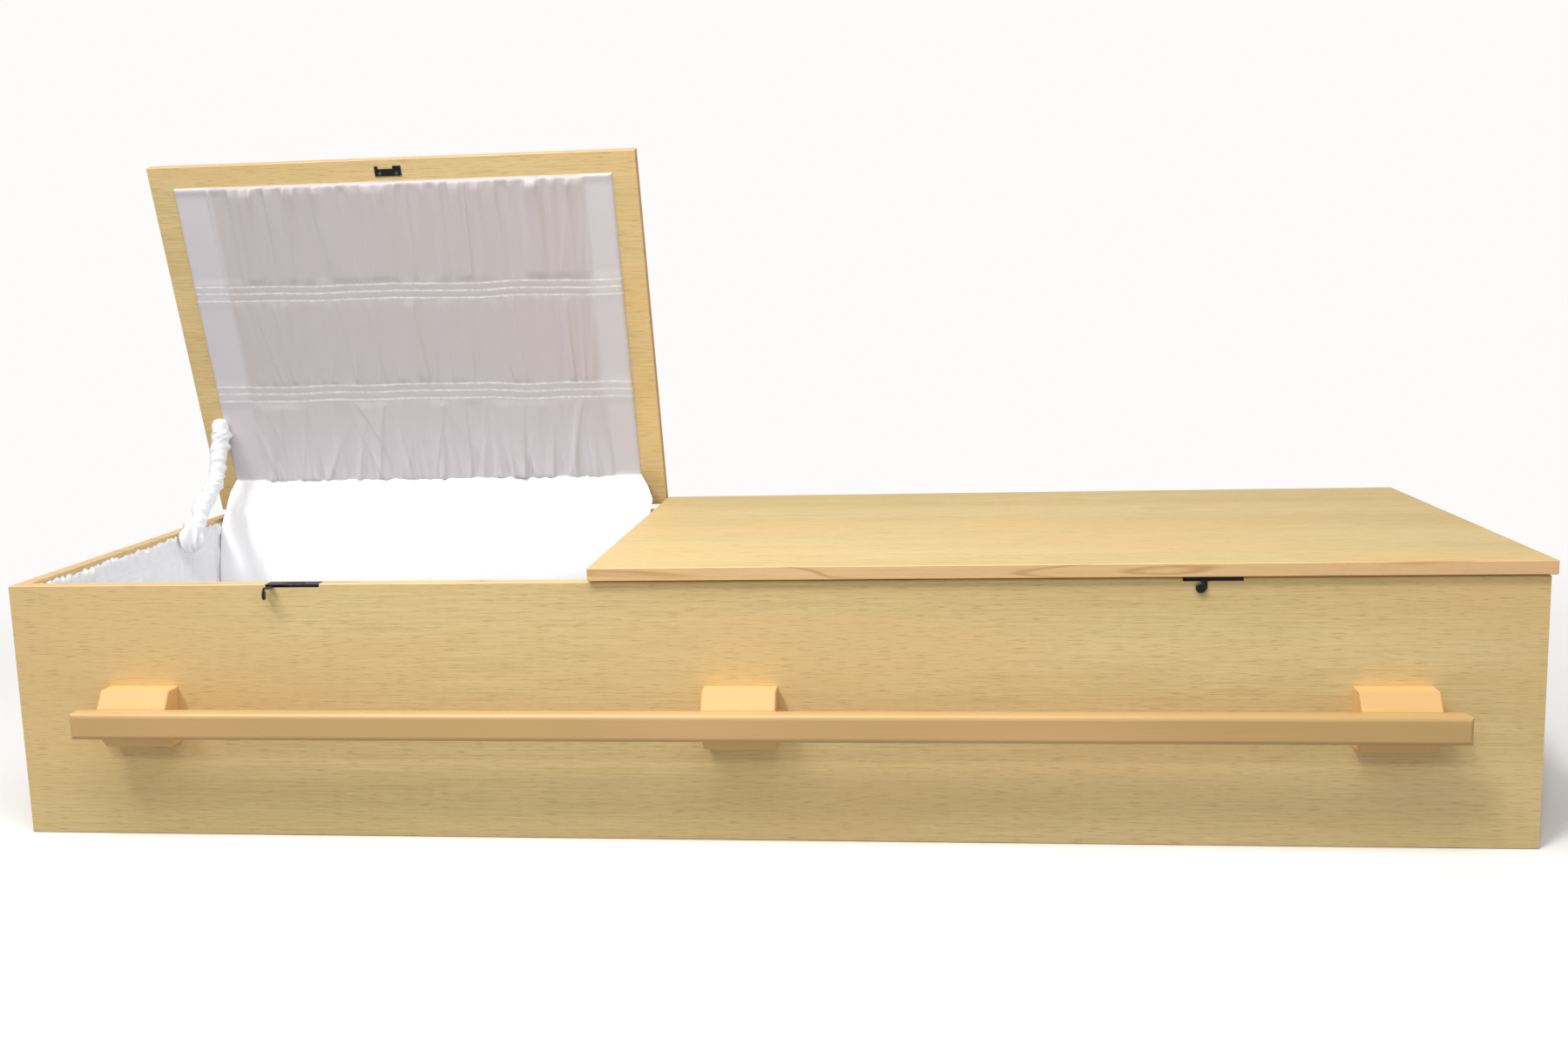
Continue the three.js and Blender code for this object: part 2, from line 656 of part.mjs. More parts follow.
/** The apron's run in the (Y, Z) plane, from the lid lining's back edge to its hem. */
function apronRun() {
  const innerWallY = halfWidth - wallThickness;
  const seamY = lidBackEdge - liningBackBorder + seat + apronThickness;
  const seam = openedPoint(seamY, lidUnderside - seat - apronThickness);
  const bulgeY = innerWallY - apronBulgeFromWall;
  const shoulder = [(seam[0] + bulgeY) / 2 - apronThickness, (seam[1] + bodyHeight) / 2];
  const hem = [innerWallY - apronHemFromWall, apronHemHeight];
  return new THREE.CatmullRomCurve3(
    [seam, shoulder, [bulgeY, bodyHeight], [bulgeY, apronBulgeHeight],
      [(bulgeY + hem[0]) / 2, (apronBulgeHeight + apronHemHeight) / 2], hem]
      .map(([y, z]) => new THREE.Vector3(0, y, z)),
  );
}

function addApron() {
  const run = apronRun();
  const rim = [-1, 1].map((side) => {
    const points = [];
    for (let i = 0; i <= apronCurveSteps; i += 1) {
      const t = i / apronCurveSteps;
      const at = run.getPointAt(t);
      const heading = run.getTangentAt(t);
      const out = side * apronThickness / 2;
      points.push([at.y - heading.z * out, at.z + heading.y * out]);
    }
    return points;
  });
  const section = outline([...rim[0], ...rim[1].reverse()]);
  const x0 = -lidEnd + liningSideBorder + apronInset;
  const x1 = headLidEdge - liningSideBorder - apronInset;
  place(casket, 'apron', alongX(prism(section, x1 - x0), x0), satin);
}

addBody();
addLids();
addHinges();
addHandles();
addLatches();
addKeepers();
addStay();
addBodyLinings();
addApron();

export default casket;
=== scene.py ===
"""Looks of the half-couch casket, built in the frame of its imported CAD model.

Lengths are in metres. X runs along the casket with the head end at -X, the front is at -Y and +Z is up.
The boards, handles, latches, hinges and stay links are the CAD's own. This script gives them their
finishes and builds the cloth: the linings, the floor pad, the apron over the hinge gap and the stay's
gathered sleeve.
"""

import json
import logging
import math
from collections.abc import Callable
from dataclasses import dataclass, replace
from enum import Enum

import bpy
import numpy as np
from mathutils import Matrix, Vector


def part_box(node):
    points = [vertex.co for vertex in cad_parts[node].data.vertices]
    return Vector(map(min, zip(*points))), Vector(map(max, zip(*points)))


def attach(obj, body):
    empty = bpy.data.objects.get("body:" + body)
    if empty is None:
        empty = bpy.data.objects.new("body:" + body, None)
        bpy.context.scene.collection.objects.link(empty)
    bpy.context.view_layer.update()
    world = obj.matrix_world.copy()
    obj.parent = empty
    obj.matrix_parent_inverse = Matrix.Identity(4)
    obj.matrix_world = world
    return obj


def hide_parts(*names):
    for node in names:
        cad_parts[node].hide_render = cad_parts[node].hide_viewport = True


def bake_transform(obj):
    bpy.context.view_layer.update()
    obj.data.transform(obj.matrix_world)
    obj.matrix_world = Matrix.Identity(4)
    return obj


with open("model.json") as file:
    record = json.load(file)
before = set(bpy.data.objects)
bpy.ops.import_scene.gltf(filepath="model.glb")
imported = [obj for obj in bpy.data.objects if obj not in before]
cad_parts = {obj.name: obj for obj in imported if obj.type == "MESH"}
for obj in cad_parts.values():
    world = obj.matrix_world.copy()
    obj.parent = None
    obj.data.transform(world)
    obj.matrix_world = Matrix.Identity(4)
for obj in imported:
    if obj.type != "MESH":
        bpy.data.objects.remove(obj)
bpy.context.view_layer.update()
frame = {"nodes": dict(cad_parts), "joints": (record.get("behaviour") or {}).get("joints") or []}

logging.basicConfig(level=logging.INFO, format="%(message)s")
log = logging.getLogger("casket")

Pair = tuple[float, float]
Triple = tuple[float, float, float]
Colour = Triple
Socket = bpy.types.NodeSocket
Sockets = dict[str, Socket]
Tree = bpy.types.NodeTree
Array = np.ndarray

BODY = "casket_body"
HEAD_LID = "head_lid_body"
FOOT_LID = "foot_lid_body"
THREAD = "Thread"
# Name of the mark where the satin is painted lighter: painted light on flat strips and lower edges.
PAINTED_LIGHT = "Flat"
SURROUND_TINT: Colour = (1.0, 0.992, 0.982)


class GrainAxis(Enum):
    """The way that a board's grain runs, in the row frame."""

    ALONG = "X"
    ACROSS = "Y"


class Held(Enum):
    """How a sheet of cloth is held."""

    GATHERED = "gathered"
    HUNG = "hung"


def srgb(red: int, green: int, blue: int) -> Colour:
    """The scene-linear colour for display values from 0 to 255."""

    def linear(value: float) -> float:
        """One channel's linear value, both from 0 to 1."""
        return value / 12.92 if value <= 0.04045 else ((value + 0.055) / 1.055) ** 2.4

    return linear(red / 255), linear(green / 255), linear(blue / 255)


def smooth_step(values: Array) -> Array:
    """Runs smoothly from 0 at 0 to 1 at 1, and stays there on both sides."""
    clipped = np.clip(values, 0.0, 1.0)
    return clipped * clipped * (3.0 - 2.0 * clipped)


def wander(places: Array, step: float, seed: int) -> Array:
    """Smooth random values along a line.

    Args:
        places: Places along the line.
        step: Distance between the random values that are joined.
        seed: Seed of the random values.

    Returns:
        Values from -1 to 1, one for each place.
    """
    low = float(places.min())
    count = int((float(places.max()) - low) / step) + 3
    values = np.random.default_rng(seed).uniform(-1.0, 1.0, count)
    scaled = (places - low) / step
    index = np.floor(scaled).astype(int)
    share = smooth_step(scaled - index)
    return values[index] * (1.0 - share) + values[index + 1] * share


def bell(distance: Array, width: Array | float) -> Array:
    """1 where the distance is 0, fading on both sides over the width."""
    return np.exp(-((distance / width) ** 2))


def smooth_line(points: tuple[Pair, ...], steps: int) -> Array:
    """A smooth line through points.

    Args:
        points: The points, in order.
        steps: How many points the line gets.

    Returns:
        An array of evenly spaced points, shape (steps, 2).
    """
    pieces_between = 24
    given = np.array(points, float)
    padded = np.vstack([2 * given[0] - given[1], given, 2 * given[-1] - given[-2]])
    share = np.linspace(0.0, 1.0, pieces_between, endpoint=False)[:, None]
    dense = []
    for before, start, end, after in zip(padded, padded[1:], padded[2:], padded[3:]):
        slope = end - before
        bend = 2 * before - 5 * start + 4 * end - after
        twist = 3 * start - before - 3 * end + after
        dense.append(0.5 * (2 * start + slope * share + bend * share**2 + twist * share**3))
    line = np.vstack([*dense, given[-1:]])
    lengths = np.concatenate([[0.0], np.cumsum(np.linalg.norm(np.diff(line, axis=0), axis=1))])
    wanted = np.linspace(0.0, lengths[-1], steps)
    return np.column_stack([np.interp(wanted, lengths, line[:, i]) for i in range(2)])


# Shader nodes


class NodeGraph:
    """Adds nodes to one node tree and links them."""

    def __init__(self, tree: Tree) -> None:
        """Takes the tree that the nodes go into."""
        self.tree = tree

    def add(self, kind: str, inputs: dict | None = None, **settings: object) -> bpy.types.Node:
        """Adds one node.

        Args:
            kind: The node's type name.
            inputs: Values or output sockets, by the name or number of the input that takes them.
            settings: The node's own properties.

        Returns:
            The new node.
        """
        node = self.tree.nodes.new(kind)
        for name, value in settings.items():
            setattr(node, name, value)
        for name, value in (inputs or {}).items():
            socket = node.inputs[name]
            if isinstance(value, Socket):
                self.tree.links.new(value, socket)
            elif socket.type == "RGBA" and len(value) == 3:
                socket.default_value = (*value, 1.0)
            else:
                socket.default_value = value
        return node

    def math(self, operation: str, *values: object) -> Socket:
        """The result of one math node."""
        inputs = dict(enumerate(values))
        return self.add("ShaderNodeMath", inputs, operation=operation).outputs[0]

    def remap(self, value: object, low: object, high: object) -> Socket:
        """A value that runs smoothly from 0 at low to 1 at high."""
        inputs = {"Value": value, "From Min": low, "From Max": high}
        node = self.add("ShaderNodeMapRange", inputs, interpolation_type="SMOOTHSTEP")
        return node.outputs["Result"]

    def mix(self, share: object, first: object, second: object) -> Socket:
        """The colour between two colours."""
        factor, colour_a, colour_b, result = 0, 6, 7, 2
        inputs = {factor: share, colour_a: first, colour_b: second}
        return self.add("ShaderNodeMix", inputs, data_type="RGBA").outputs[result]

    def stretched(self, vector: object, along: object, across: object) -> Socket:
        """A vector with its X scaled by one value and its Y and Z by another."""
        scale = self.add("ShaderNodeCombineXYZ", {"X": along, "Y": across, "Z": across})
        inputs = {0: vector, 1: scale.outputs[0]}
        return self.add("ShaderNodeVectorMath", inputs, operation="MULTIPLY").outputs[0]

    def noise(
        self, vector: object, scale: object = 1.0, detail: float = 1.0, roughness: float = 0.5
    ) -> Socket:
        """A noise value from 0 to 1."""
        inputs = {"Vector": vector, "Scale": scale, "Detail": detail, "Roughness": roughness}
        return self.add("ShaderNodeTexNoise", inputs, noise_dimensions="3D").outputs[0]

    def group(self, tree: Tree, inputs: dict) -> bpy.types.bpy_prop_collection:
        """Adds one shared group with its own values and returns its outputs."""
        return self.add("ShaderNodeGroup", inputs, node_tree=tree).outputs


class SharedEffects:
    """The node groups that several materials use, and the materials made so far."""

    def __init__(self) -> None:
        """Makes the groups."""
        place = {"Coordinates": None}
        grain = {**place, "Along": 7.0, "Across": 400.0, "Pore Length": 40.0, "Pore Width": 820.0}
        figure = {**place, "Along": 2.4, "Across": 30.0, "Lines": 6.0}
        weave = {**place, "Crease Scale": 60.0, "Thread Scale": 900.0}
        dust = {**place, "Scale": 6.0, "Amount": 0.08}
        self.grain = self._make("Straight Grain", grain, self._straight_grain)
        self.figure = self._make("Growth Figure", figure, self._growth_figure)
        self.wear_and_highlight = self._make("Edge Wear", {"Radius": 0.0015, "Amount": 1.0}, self._edge_wear_and_highlight)
        self.weave = self._make("Satin Weave", weave, self._satin_weave)
        self.dust = self._make("Fine Dust", dust, self._fine_dust)
        self.materials: dict[str, bpy.types.Material] = {}

    @staticmethod
    def _make(name: str, inputs: dict[str, float | None], build: Callable) -> Tree:
        """Makes one group.

        Args:
            name: The group's name.
            inputs: Input names with their defaults. None makes a vector input.
            build: Adds the nodes between the inputs and the outputs that it returns, by name.

        Returns:
            The group.
        """
        tree = bpy.data.node_groups.new(name, "ShaderNodeTree")
        for label, value in inputs.items():
            kind = "NodeSocketVector" if value is None else "NodeSocketFloat"
            socket = tree.interface.new_socket(label, in_out="INPUT", socket_type=kind)
            if value is not None:
                socket.default_value = value
        graph = NodeGraph(tree)
        source = graph.add("NodeGroupInput")
        outputs = build(graph, {socket.name: socket for socket in source.outputs})
        for label in outputs:
            tree.interface.new_socket(label, in_out="OUTPUT", socket_type="NodeSocketFloat")
        graph.add("NodeGroupOutput", outputs)
        return tree

    @staticmethod
    def _straight_grain(graph: NodeGraph, given: Sockets) -> Sockets:
        """Fine straight grain along X: broad tone and warmth, streaks and short dark pores."""
        place = given["Coordinates"]
        broad = graph.stretched(place, along=0.7, across=12.0)
        warm = graph.stretched(place, along=1.6, across=6.0)
        fine = graph.stretched(place, given["Along"], given["Across"])
        short = graph.stretched(place, given["Pore Length"], given["Pore Width"])
        return {
            "Tone": graph.noise(broad, detail=3.0),
            "Warmth": graph.noise(warm, detail=2.0),
            "Streaks": graph.noise(fine, detail=4.0, roughness=0.7),
            "Pores": graph.remap(graph.noise(short, detail=2.0), low=0.53, high=0.72),
        }

    @staticmethod
    def _growth_figure(graph: NodeGraph, given: Sockets) -> Sockets:
        """Long arched growth lines, as plain-sawn solid wood has them."""
        space = graph.stretched(given["Coordinates"], given["Along"], given["Across"])
        height = graph.noise(space)
        wave = graph.math("PINGPONG", graph.math("MULTIPLY", height, given["Lines"]), 0.5)
        line = graph.remap(wave, low=0.13, high=0.0)
        strength = graph.remap(graph.noise(space, scale=0.6), low=0.38, high=0.58)
        return {"Lines": graph.math("MULTIPLY", line, strength)}

    @staticmethod
    def _edge_wear_and_highlight(graph: NodeGraph, given: Sockets) -> Sockets:
        """A mask of the edges: for wear that hands and cloths leave, and for a painted highlight along
        the arrises.
        """
        rounded = graph.add("ShaderNodeBevel", {"Radius": given["Radius"]}, samples=4).outputs[0]
        inputs = {0: rounded, 1: graph.add("ShaderNodeNewGeometry").outputs["True Normal"]}
        facing = graph.add("ShaderNodeVectorMath", inputs, operation="DOT_PRODUCT").outputs["Value"]
        edge = graph.remap(facing, low=0.995, high=0.86)
        return {"Mask": graph.math("MULTIPLY", edge, given["Amount"])}

    @staticmethod
    def _satin_weave(graph: NodeGraph, given: Sockets) -> Sockets:
        """Fine creases along the folds and the cloth's own thread."""
        place = given["Coordinates"]
        return {
            "Creases": graph.noise(place, given["Crease Scale"], detail=3.0, roughness=0.55),
            "Thread": graph.noise(place, given["Thread Scale"]),
        }

    @staticmethod
    def _fine_dust(graph: NodeGraph, given: Sockets) -> Sockets:
        """Faint uneven dullness, as fingers and dust leave it."""
        cloud = graph.noise(given["Coordinates"], given["Scale"], detail=5.0, roughness=0.65)
        centred = graph.math("SUBTRACT", cloud, 0.5)
        return {"Dullness": graph.math("MULTIPLY", centred, given["Amount"])}


class Finish:
    """A material that is built once, when it is first asked for."""

    name: str

    def material(self, effects: SharedEffects) -> bpy.types.Material:
        """The finish's material.

        Args:
            effects: The shared node groups, and the materials made so far.

        Returns:
            The material, the same one at each call.
        """
        if self.name not in effects.materials:
            made = bpy.data.materials.new(self.name)
            made.use_nodes = True
            made.node_tree.nodes.clear()
            graph = NodeGraph(made.node_tree)
            graph.add("ShaderNodeOutputMaterial", {"Surface": self.shader(graph, effects)})
            effects.materials[self.name] = made
        return effects.materials[self.name]

    def shader(self, graph: NodeGraph, effects: SharedEffects) -> Socket:
        """Builds the finish's nodes and returns the shader output."""
        raise NotImplementedError


@dataclass(frozen=True)
class WoodFinish(Finish):
    """Lacquered wood with fine straight grain and, where asked for, growth lines."""

    name: str
    light: Colour
    dark: Colour
    pore: Colour
    warm: Colour
    axis: GrainAxis = GrainAxis.ALONG
    streak_share: float = 0.62
    pore_share: float = 0.5
    warm_share: float = 0.7
    line_share: float = 0.0
    line_colour: Colour = (0.3, 0.15, 0.06)
    roughness: float = 0.46
    gloss: float = 0.45
    wear_and_highlight: float = 0.25
    bump: float = 0.00012

    def shader(self, graph: NodeGraph, effects: SharedEffects) -> Socket:
        """Grain, pores, growth lines and lighter edges, as wear and a painted highlight, over a lacquered
        base.
        """
        space = graph.add("ShaderNodeTexCoord").outputs["Object"]
        if self.axis is GrainAxis.ACROSS:
            x, y, z = graph.add("ShaderNodeSeparateXYZ", {0: space}).outputs
            space = graph.add("ShaderNodeCombineXYZ", {"X": y, "Y": x, "Z": z}).outputs[0]
        grain = graph.group(effects.grain, {"Coordinates": space})
        lines = graph.group(effects.figure, {"Coordinates": space})["Lines"]
        dust = graph.group(effects.dust, {"Coordinates": space})["Dullness"]
        worn_and_lit = graph.group(effects.wear_and_highlight, {"Amount": self.wear_and_highlight})["Mask"]

        tone = graph.math("MULTIPLY", grain["Tone"], 1.0 - self.streak_share)
        tone = graph.math("MULTIPLY_ADD", grain["Streaks"], self.streak_share, tone)
        colour = graph.mix(graph.remap(tone, low=0.36, high=0.64), self.dark, self.light)
        layers = (
            (graph.remap(grain["Warmth"], low=0.46, high=0.66), self.warm_share, self.warm),
            (grain["Pores"], self.pore_share, self.pore),
            (lines, self.line_share, self.line_colour),
            # Lighter edges: wear, and a painted highlight along the arrises.
            (worn_and_lit, 1.0, self.light),
        )
        for mask, share, layer_colour in layers:
            colour = graph.mix(graph.math("MULTIPLY", mask, share), colour, layer_colour)
        relief = graph.math("SUBTRACT", grain["Streaks"], grain["Pores"])
        bump = graph.add("ShaderNodeBump", {"Height": relief, "Distance": self.bump, "Strength": 1.0})
        inputs = {
            "Base Color": colour,
            "Roughness": graph.math("ADD", dust, self.roughness),
            "Specular IOR Level": self.gloss,
            "Normal": bump.outputs[0],
        }
        return graph.add("ShaderNodeBsdfPrincipled", inputs).outputs[0]


@dataclass(frozen=True)
class SteelFinish(Finish):
    """Steel, bare or under paint."""

    name: str
    colour: Colour
    worn_and_lit_colour: Colour
    roughness: float
    metallic: float
    wear_and_highlight: float

    def shader(self, graph: NodeGraph, effects: SharedEffects) -> Socket:
        """Plain metal or paint with lighter edges, as wear and a painted highlight."""
        space = graph.add("ShaderNodeTexCoord").outputs["Object"]
        specks = {"Coordinates": space, "Scale": 160.0, "Amount": 0.25}
        dust = graph.group(effects.dust, specks)["Dullness"]
        worn_and_lit = graph.group(effects.wear_and_highlight, {"Radius": 0.0006, "Amount": self.wear_and_highlight})["Mask"]
        # The lighter edge colour is wear and a painted highlight on the edges.
        inputs = {
            "Base Color": graph.mix(worn_and_lit, self.colour, self.worn_and_lit_colour),
            "Roughness": graph.math("ADD", dust, self.roughness),
            "Metallic": self.metallic,
        }
        return graph.add("ShaderNodeBsdfPrincipled", inputs).outputs[0]


@dataclass(frozen=True)
class SatinFinish(Finish):
    """White satin with a soft sheen, its sewing thread whiter than the cloth. On flat strips and towards
    a lower edge its colour turns lighter: painted light.
    """

    name: str
    colour: Colour
    painted_light_colour: Colour
    thread: Colour = (0.97, 0.97, 0.98)
    roughness: float = 0.36
    sheen: float = 0.2
    crease: float = 0.0008
    through: float = 0.12

    def shader(self, graph: NodeGraph, effects: SharedEffects) -> Socket:
        """Fine creases over the modelled folds, lit through the cloth a little."""
        space = graph.add("ShaderNodeTexCoord").outputs["Object"]
        weave = graph.group(effects.weave, {"Coordinates": space})
        marks = [graph.add("ShaderNodeAttribute", attribute_name=name) for name in (THREAD, PAINTED_LIGHT)]
        sewn, painted_light_share = (node.outputs["Fac"] for node in marks)
        thread_height = 0.02
        height = graph.math("MULTIPLY_ADD", weave["Thread"], thread_height, weave["Creases"])
        bump_inputs = {"Height": height, "Distance": self.crease, "Strength": 0.5}
        bump = graph.add("ShaderNodeBump", bump_inputs).outputs[0]
        # Painted light: the flat strips and the lower edge turn to the lighter colour.
        cloth_with_painted_light = graph.mix(painted_light_share, self.colour, self.painted_light_colour)
        inputs = {
            "Base Color": graph.mix(sewn, cloth_with_painted_light, self.thread),
            "Roughness": self.roughness,
            "Specular IOR Level": 0.5,
            "Sheen Weight": self.sheen,
            "Sheen Roughness": 0.5,
            "Normal": bump,
        }
        cloth = graph.add("ShaderNodeBsdfPrincipled", inputs).outputs[0]
        lit_through = {"Color": self.colour, "Normal": bump}
        through = graph.add("ShaderNodeBsdfTranslucent", lit_through).outputs[0]
        return graph.add("ShaderNodeMixShader", {0: self.through, 1: cloth, 2: through}).outputs[0]


@dataclass(frozen=True)
class FloorFinish(Finish):
    """Plain pale floor that fades into the white surround.

    Attributes:
        name: The material's name.
        colour: The floor near the casket, as the camera sees it.
        bounce: How much light the floor throws back on the casket.
        surround: Brightness of the surround that it fades into.
        fade: Distances from the origin where the fade starts and ends.
    """

    name: str = "studio_floor"
    colour: Colour = (0.96, 0.958, 0.953)
    bounce: float = 0.38
    surround: float = 0.98
    fade: Pair = (1.0, 2.6)

    def shader(self, graph: NodeGraph, effects: SharedEffects) -> Socket:
        """Matt white near the casket, and as bright as the surround far from it."""
        place = graph.add("ShaderNodeTexCoord").outputs["Object"]
        away = graph.add("ShaderNodeVectorMath", {0: place}, operation="LENGTH").outputs["Value"]
        near = graph.add("ShaderNodeBsdfDiffuse", {"Color": self.colour}).outputs[0]
        far_inputs = {"Color": SURROUND_TINT, "Strength": self.surround}
        far = graph.add("ShaderNodeEmission", far_inputs).outputs[0]
        inputs = {0: graph.remap(away, *self.fade), 1: near, 2: far}
        seen = graph.add("ShaderNodeMixShader", inputs).outputs[0]
        grey = (self.bounce, self.bounce, self.bounce)
        unseen = graph.add("ShaderNodeBsdfDiffuse", {"Color": grey}).outputs[0]
        by_camera = graph.add("ShaderNodeLightPath").outputs["Is Camera Ray"]
        return graph.add("ShaderNodeMixShader", {0: by_camera, 1: unseen, 2: seen}).outputs[0]


VENEER = WoodFinish(
    name="maple_veneer",
    light=srgb(234, 208, 151),
    dark=srgb(216, 188, 128),
    pore=srgb(180, 148, 92),
    warm=srgb(231, 197, 136),
)
VENEER_ACROSS = replace(VENEER, name="maple_veneer_across", axis=GrainAxis.ACROSS)
LIPPING = WoodFinish(
    name="maple_lipping",
    light=srgb(239, 204, 149),
    dark=srgb(231, 192, 134),
    pore=srgb(190, 144, 90),
    warm=srgb(238, 192, 140),
    pore_share=0.15,
    line_share=0.6,
    line_colour=srgb(190, 138, 80),
)
HANDLE_WOOD = WoodFinish(
    name="pale_handle_wood",
    light=srgb(236, 193, 131),
    dark=srgb(230, 187, 125),
    pore=srgb(212, 168, 106),
    warm=srgb(238, 194, 132),
    streak_share=0.35,
    pore_share=0.12,
    roughness=0.48,
    gloss=0.35,
    bump=0.00002,
)
# The bars' wood: the handle wood made darker, a painted shade, and glossier.
SHADED_BAR_WOOD = replace(
    HANDLE_WOOD,
    name="pale_bar_wood",
    light=srgb(210, 173, 114),
    dark=srgb(204, 166, 108),
    pore=srgb(192, 152, 96),
    warm=srgb(219, 179, 122),
    roughness=0.36,
    gloss=0.6,
)
# Black steel whose lighter grey edges are wear and a painted highlight.
BLACK_STEEL = SteelFinish(
    name="blackened_steel",
    colour=srgb(32, 30, 34),
    worn_and_lit_colour=srgb(112, 110, 120),
    roughness=0.36,
    metallic=0.35,
    wear_and_highlight=0.45,
)
SCREW_STEEL = SteelFinish(
    name="bare_steel",
    colour=srgb(120, 120, 124),
    worn_and_lit_colour=srgb(190, 190, 194),
    roughness=0.3,
    metallic=0.9,
    wear_and_highlight=0.5,
)
# The lid linings' satin: a darker copy of the white satin, painted shade.
SHADED_LINING_SATIN = SatinFinish(
    name="lining_satin",
    colour=srgb(215, 206, 207),
    painted_light_colour=srgb(227, 222, 226),
    thread=(0.98, 0.965, 0.96),
)
WHITE_SATIN = SatinFinish(
    name="white_satin",
    colour=(0.965, 0.967, 0.985),
    painted_light_colour=(0.965, 0.967, 0.985),
    through=0.03,
)


# Meshes


def grid_faces(rows: int, columns: int) -> list[list[int]]:
    """The four-sided faces of a grid of points that are numbered row by row."""
    index = np.arange(rows * columns).reshape(rows, columns)
    corners = (index[:-1, :-1], index[:-1, 1:], index[1:, 1:], index[1:, :-1])
    return np.stack(corners, axis=-1).reshape(-1, 4).tolist()


def mesh_object(name: str, points: Array, faces: list[list[int]]) -> bpy.types.Object:
    """Makes a smooth-shaded object in the scene.

    Args:
        name: The object's name.
        points: The points, shape (count, 3).
        faces: Each face's points, by number.

    Returns:
        The new object.
    """
    mesh = bpy.data.meshes.new(name)
    mesh.from_pydata(points.tolist(), [], faces)
    mesh.shade_smooth()
    made = bpy.data.objects.new(name, mesh)
    bpy.context.scene.collection.objects.link(made)
    return made


def grid_object(name: str, points: Array) -> bpy.types.Object:
    """Makes a surface through a grid of points, shape (rows, columns, 3)."""
    return mesh_object(name, points.reshape(-1, 3), grid_faces(*points.shape[:2]))


def spread(length: float, ends: tuple[float, ...], inset: float, pitch: float) -> Array:
    """Places along a length, closer together at its two ends.

    Args:
        length: The length.
        ends: Distances from either end of the places near it.
        inset: Distance from either end of the evenly spaced places.
        pitch: About how far these are apart.

    Returns:
        The places, in order.
    """
    near = np.array(ends)
    inner = np.linspace(inset, length - inset, int(length / pitch))
    return np.concatenate([near, inner, length - near[::-1]])


def edge_rise(across: Array, up: Array, size: Pair, turn: float) -> Array:
    """How far a rectangle's rounded edge has risen.

    Args:
        across: Places across the rectangle.
        up: Places up the rectangle.
        size: Its size across and up.
        turn: How far from the edges it has risen fully.

    Returns:
        Shares from 0 at the edges to 1, one for each place.
    """
    width, height = size
    near = np.minimum(np.minimum(across, width - across), np.minimum(up, height - up))
    return np.sqrt(1.0 - (1.0 - np.clip(near / turn, 0.0, 1.0)) ** 2)


def swept(x: Array, line: Array, rise: Array) -> Array:
    """The points of a cloth that follows a line in the (Y, Z) plane.

    Args:
        x: Each point's X, shape (rows, columns).
        line: The line's (Y, Z) points, one for each row.
        rise: How far each point stands off the line, shape (rows, columns).

    Returns:
        The points, shape (rows, columns, 3).
    """
    along = np.gradient(line, axis=0)
    along /= np.linalg.norm(along, axis=1)[:, None]
    y = line[:, :1] - rise * along[:, 1:]
    z = line[:, 1:] + rise * along[:, :1]
    return np.stack([x, y, z], axis=-1)


def mark(made: bpy.types.Object, name: str, values: Array) -> None:
    """Stores a named value at each point of a cloth, for its finish to read."""
    attribute = made.data.attributes.new(name, "FLOAT", "POINT")
    attribute.data.foreach_set("value", values.astype(np.float32).ravel())


def cloth_cut(points: Array) -> Pair:
    """The flat width and length of a cloth, from the mean lengths along its grid's lines."""
    across = np.linalg.norm(np.diff(points, axis=1), axis=2).sum(axis=1).mean()
    along = np.linalg.norm(np.diff(points, axis=0), axis=2).sum(axis=0).mean()
    return round(float(across), 3), round(float(along), 3)


@dataclass(frozen=True)
class Plane:
    """A flat place that a panel is built on: across, up and out are unit vectors."""

    origin: Vector
    across: Vector
    up: Vector
    out: Vector

    def place(self, across: Array, up: Array, out: Array) -> Array:
        """Points in the row frame for places across, up and out from the plane."""
        moves = zip((across, up, out), (self.across, self.up, self.out))
        return np.array(self.origin) + sum(values[..., None] * np.array(axis) for values, axis in moves)


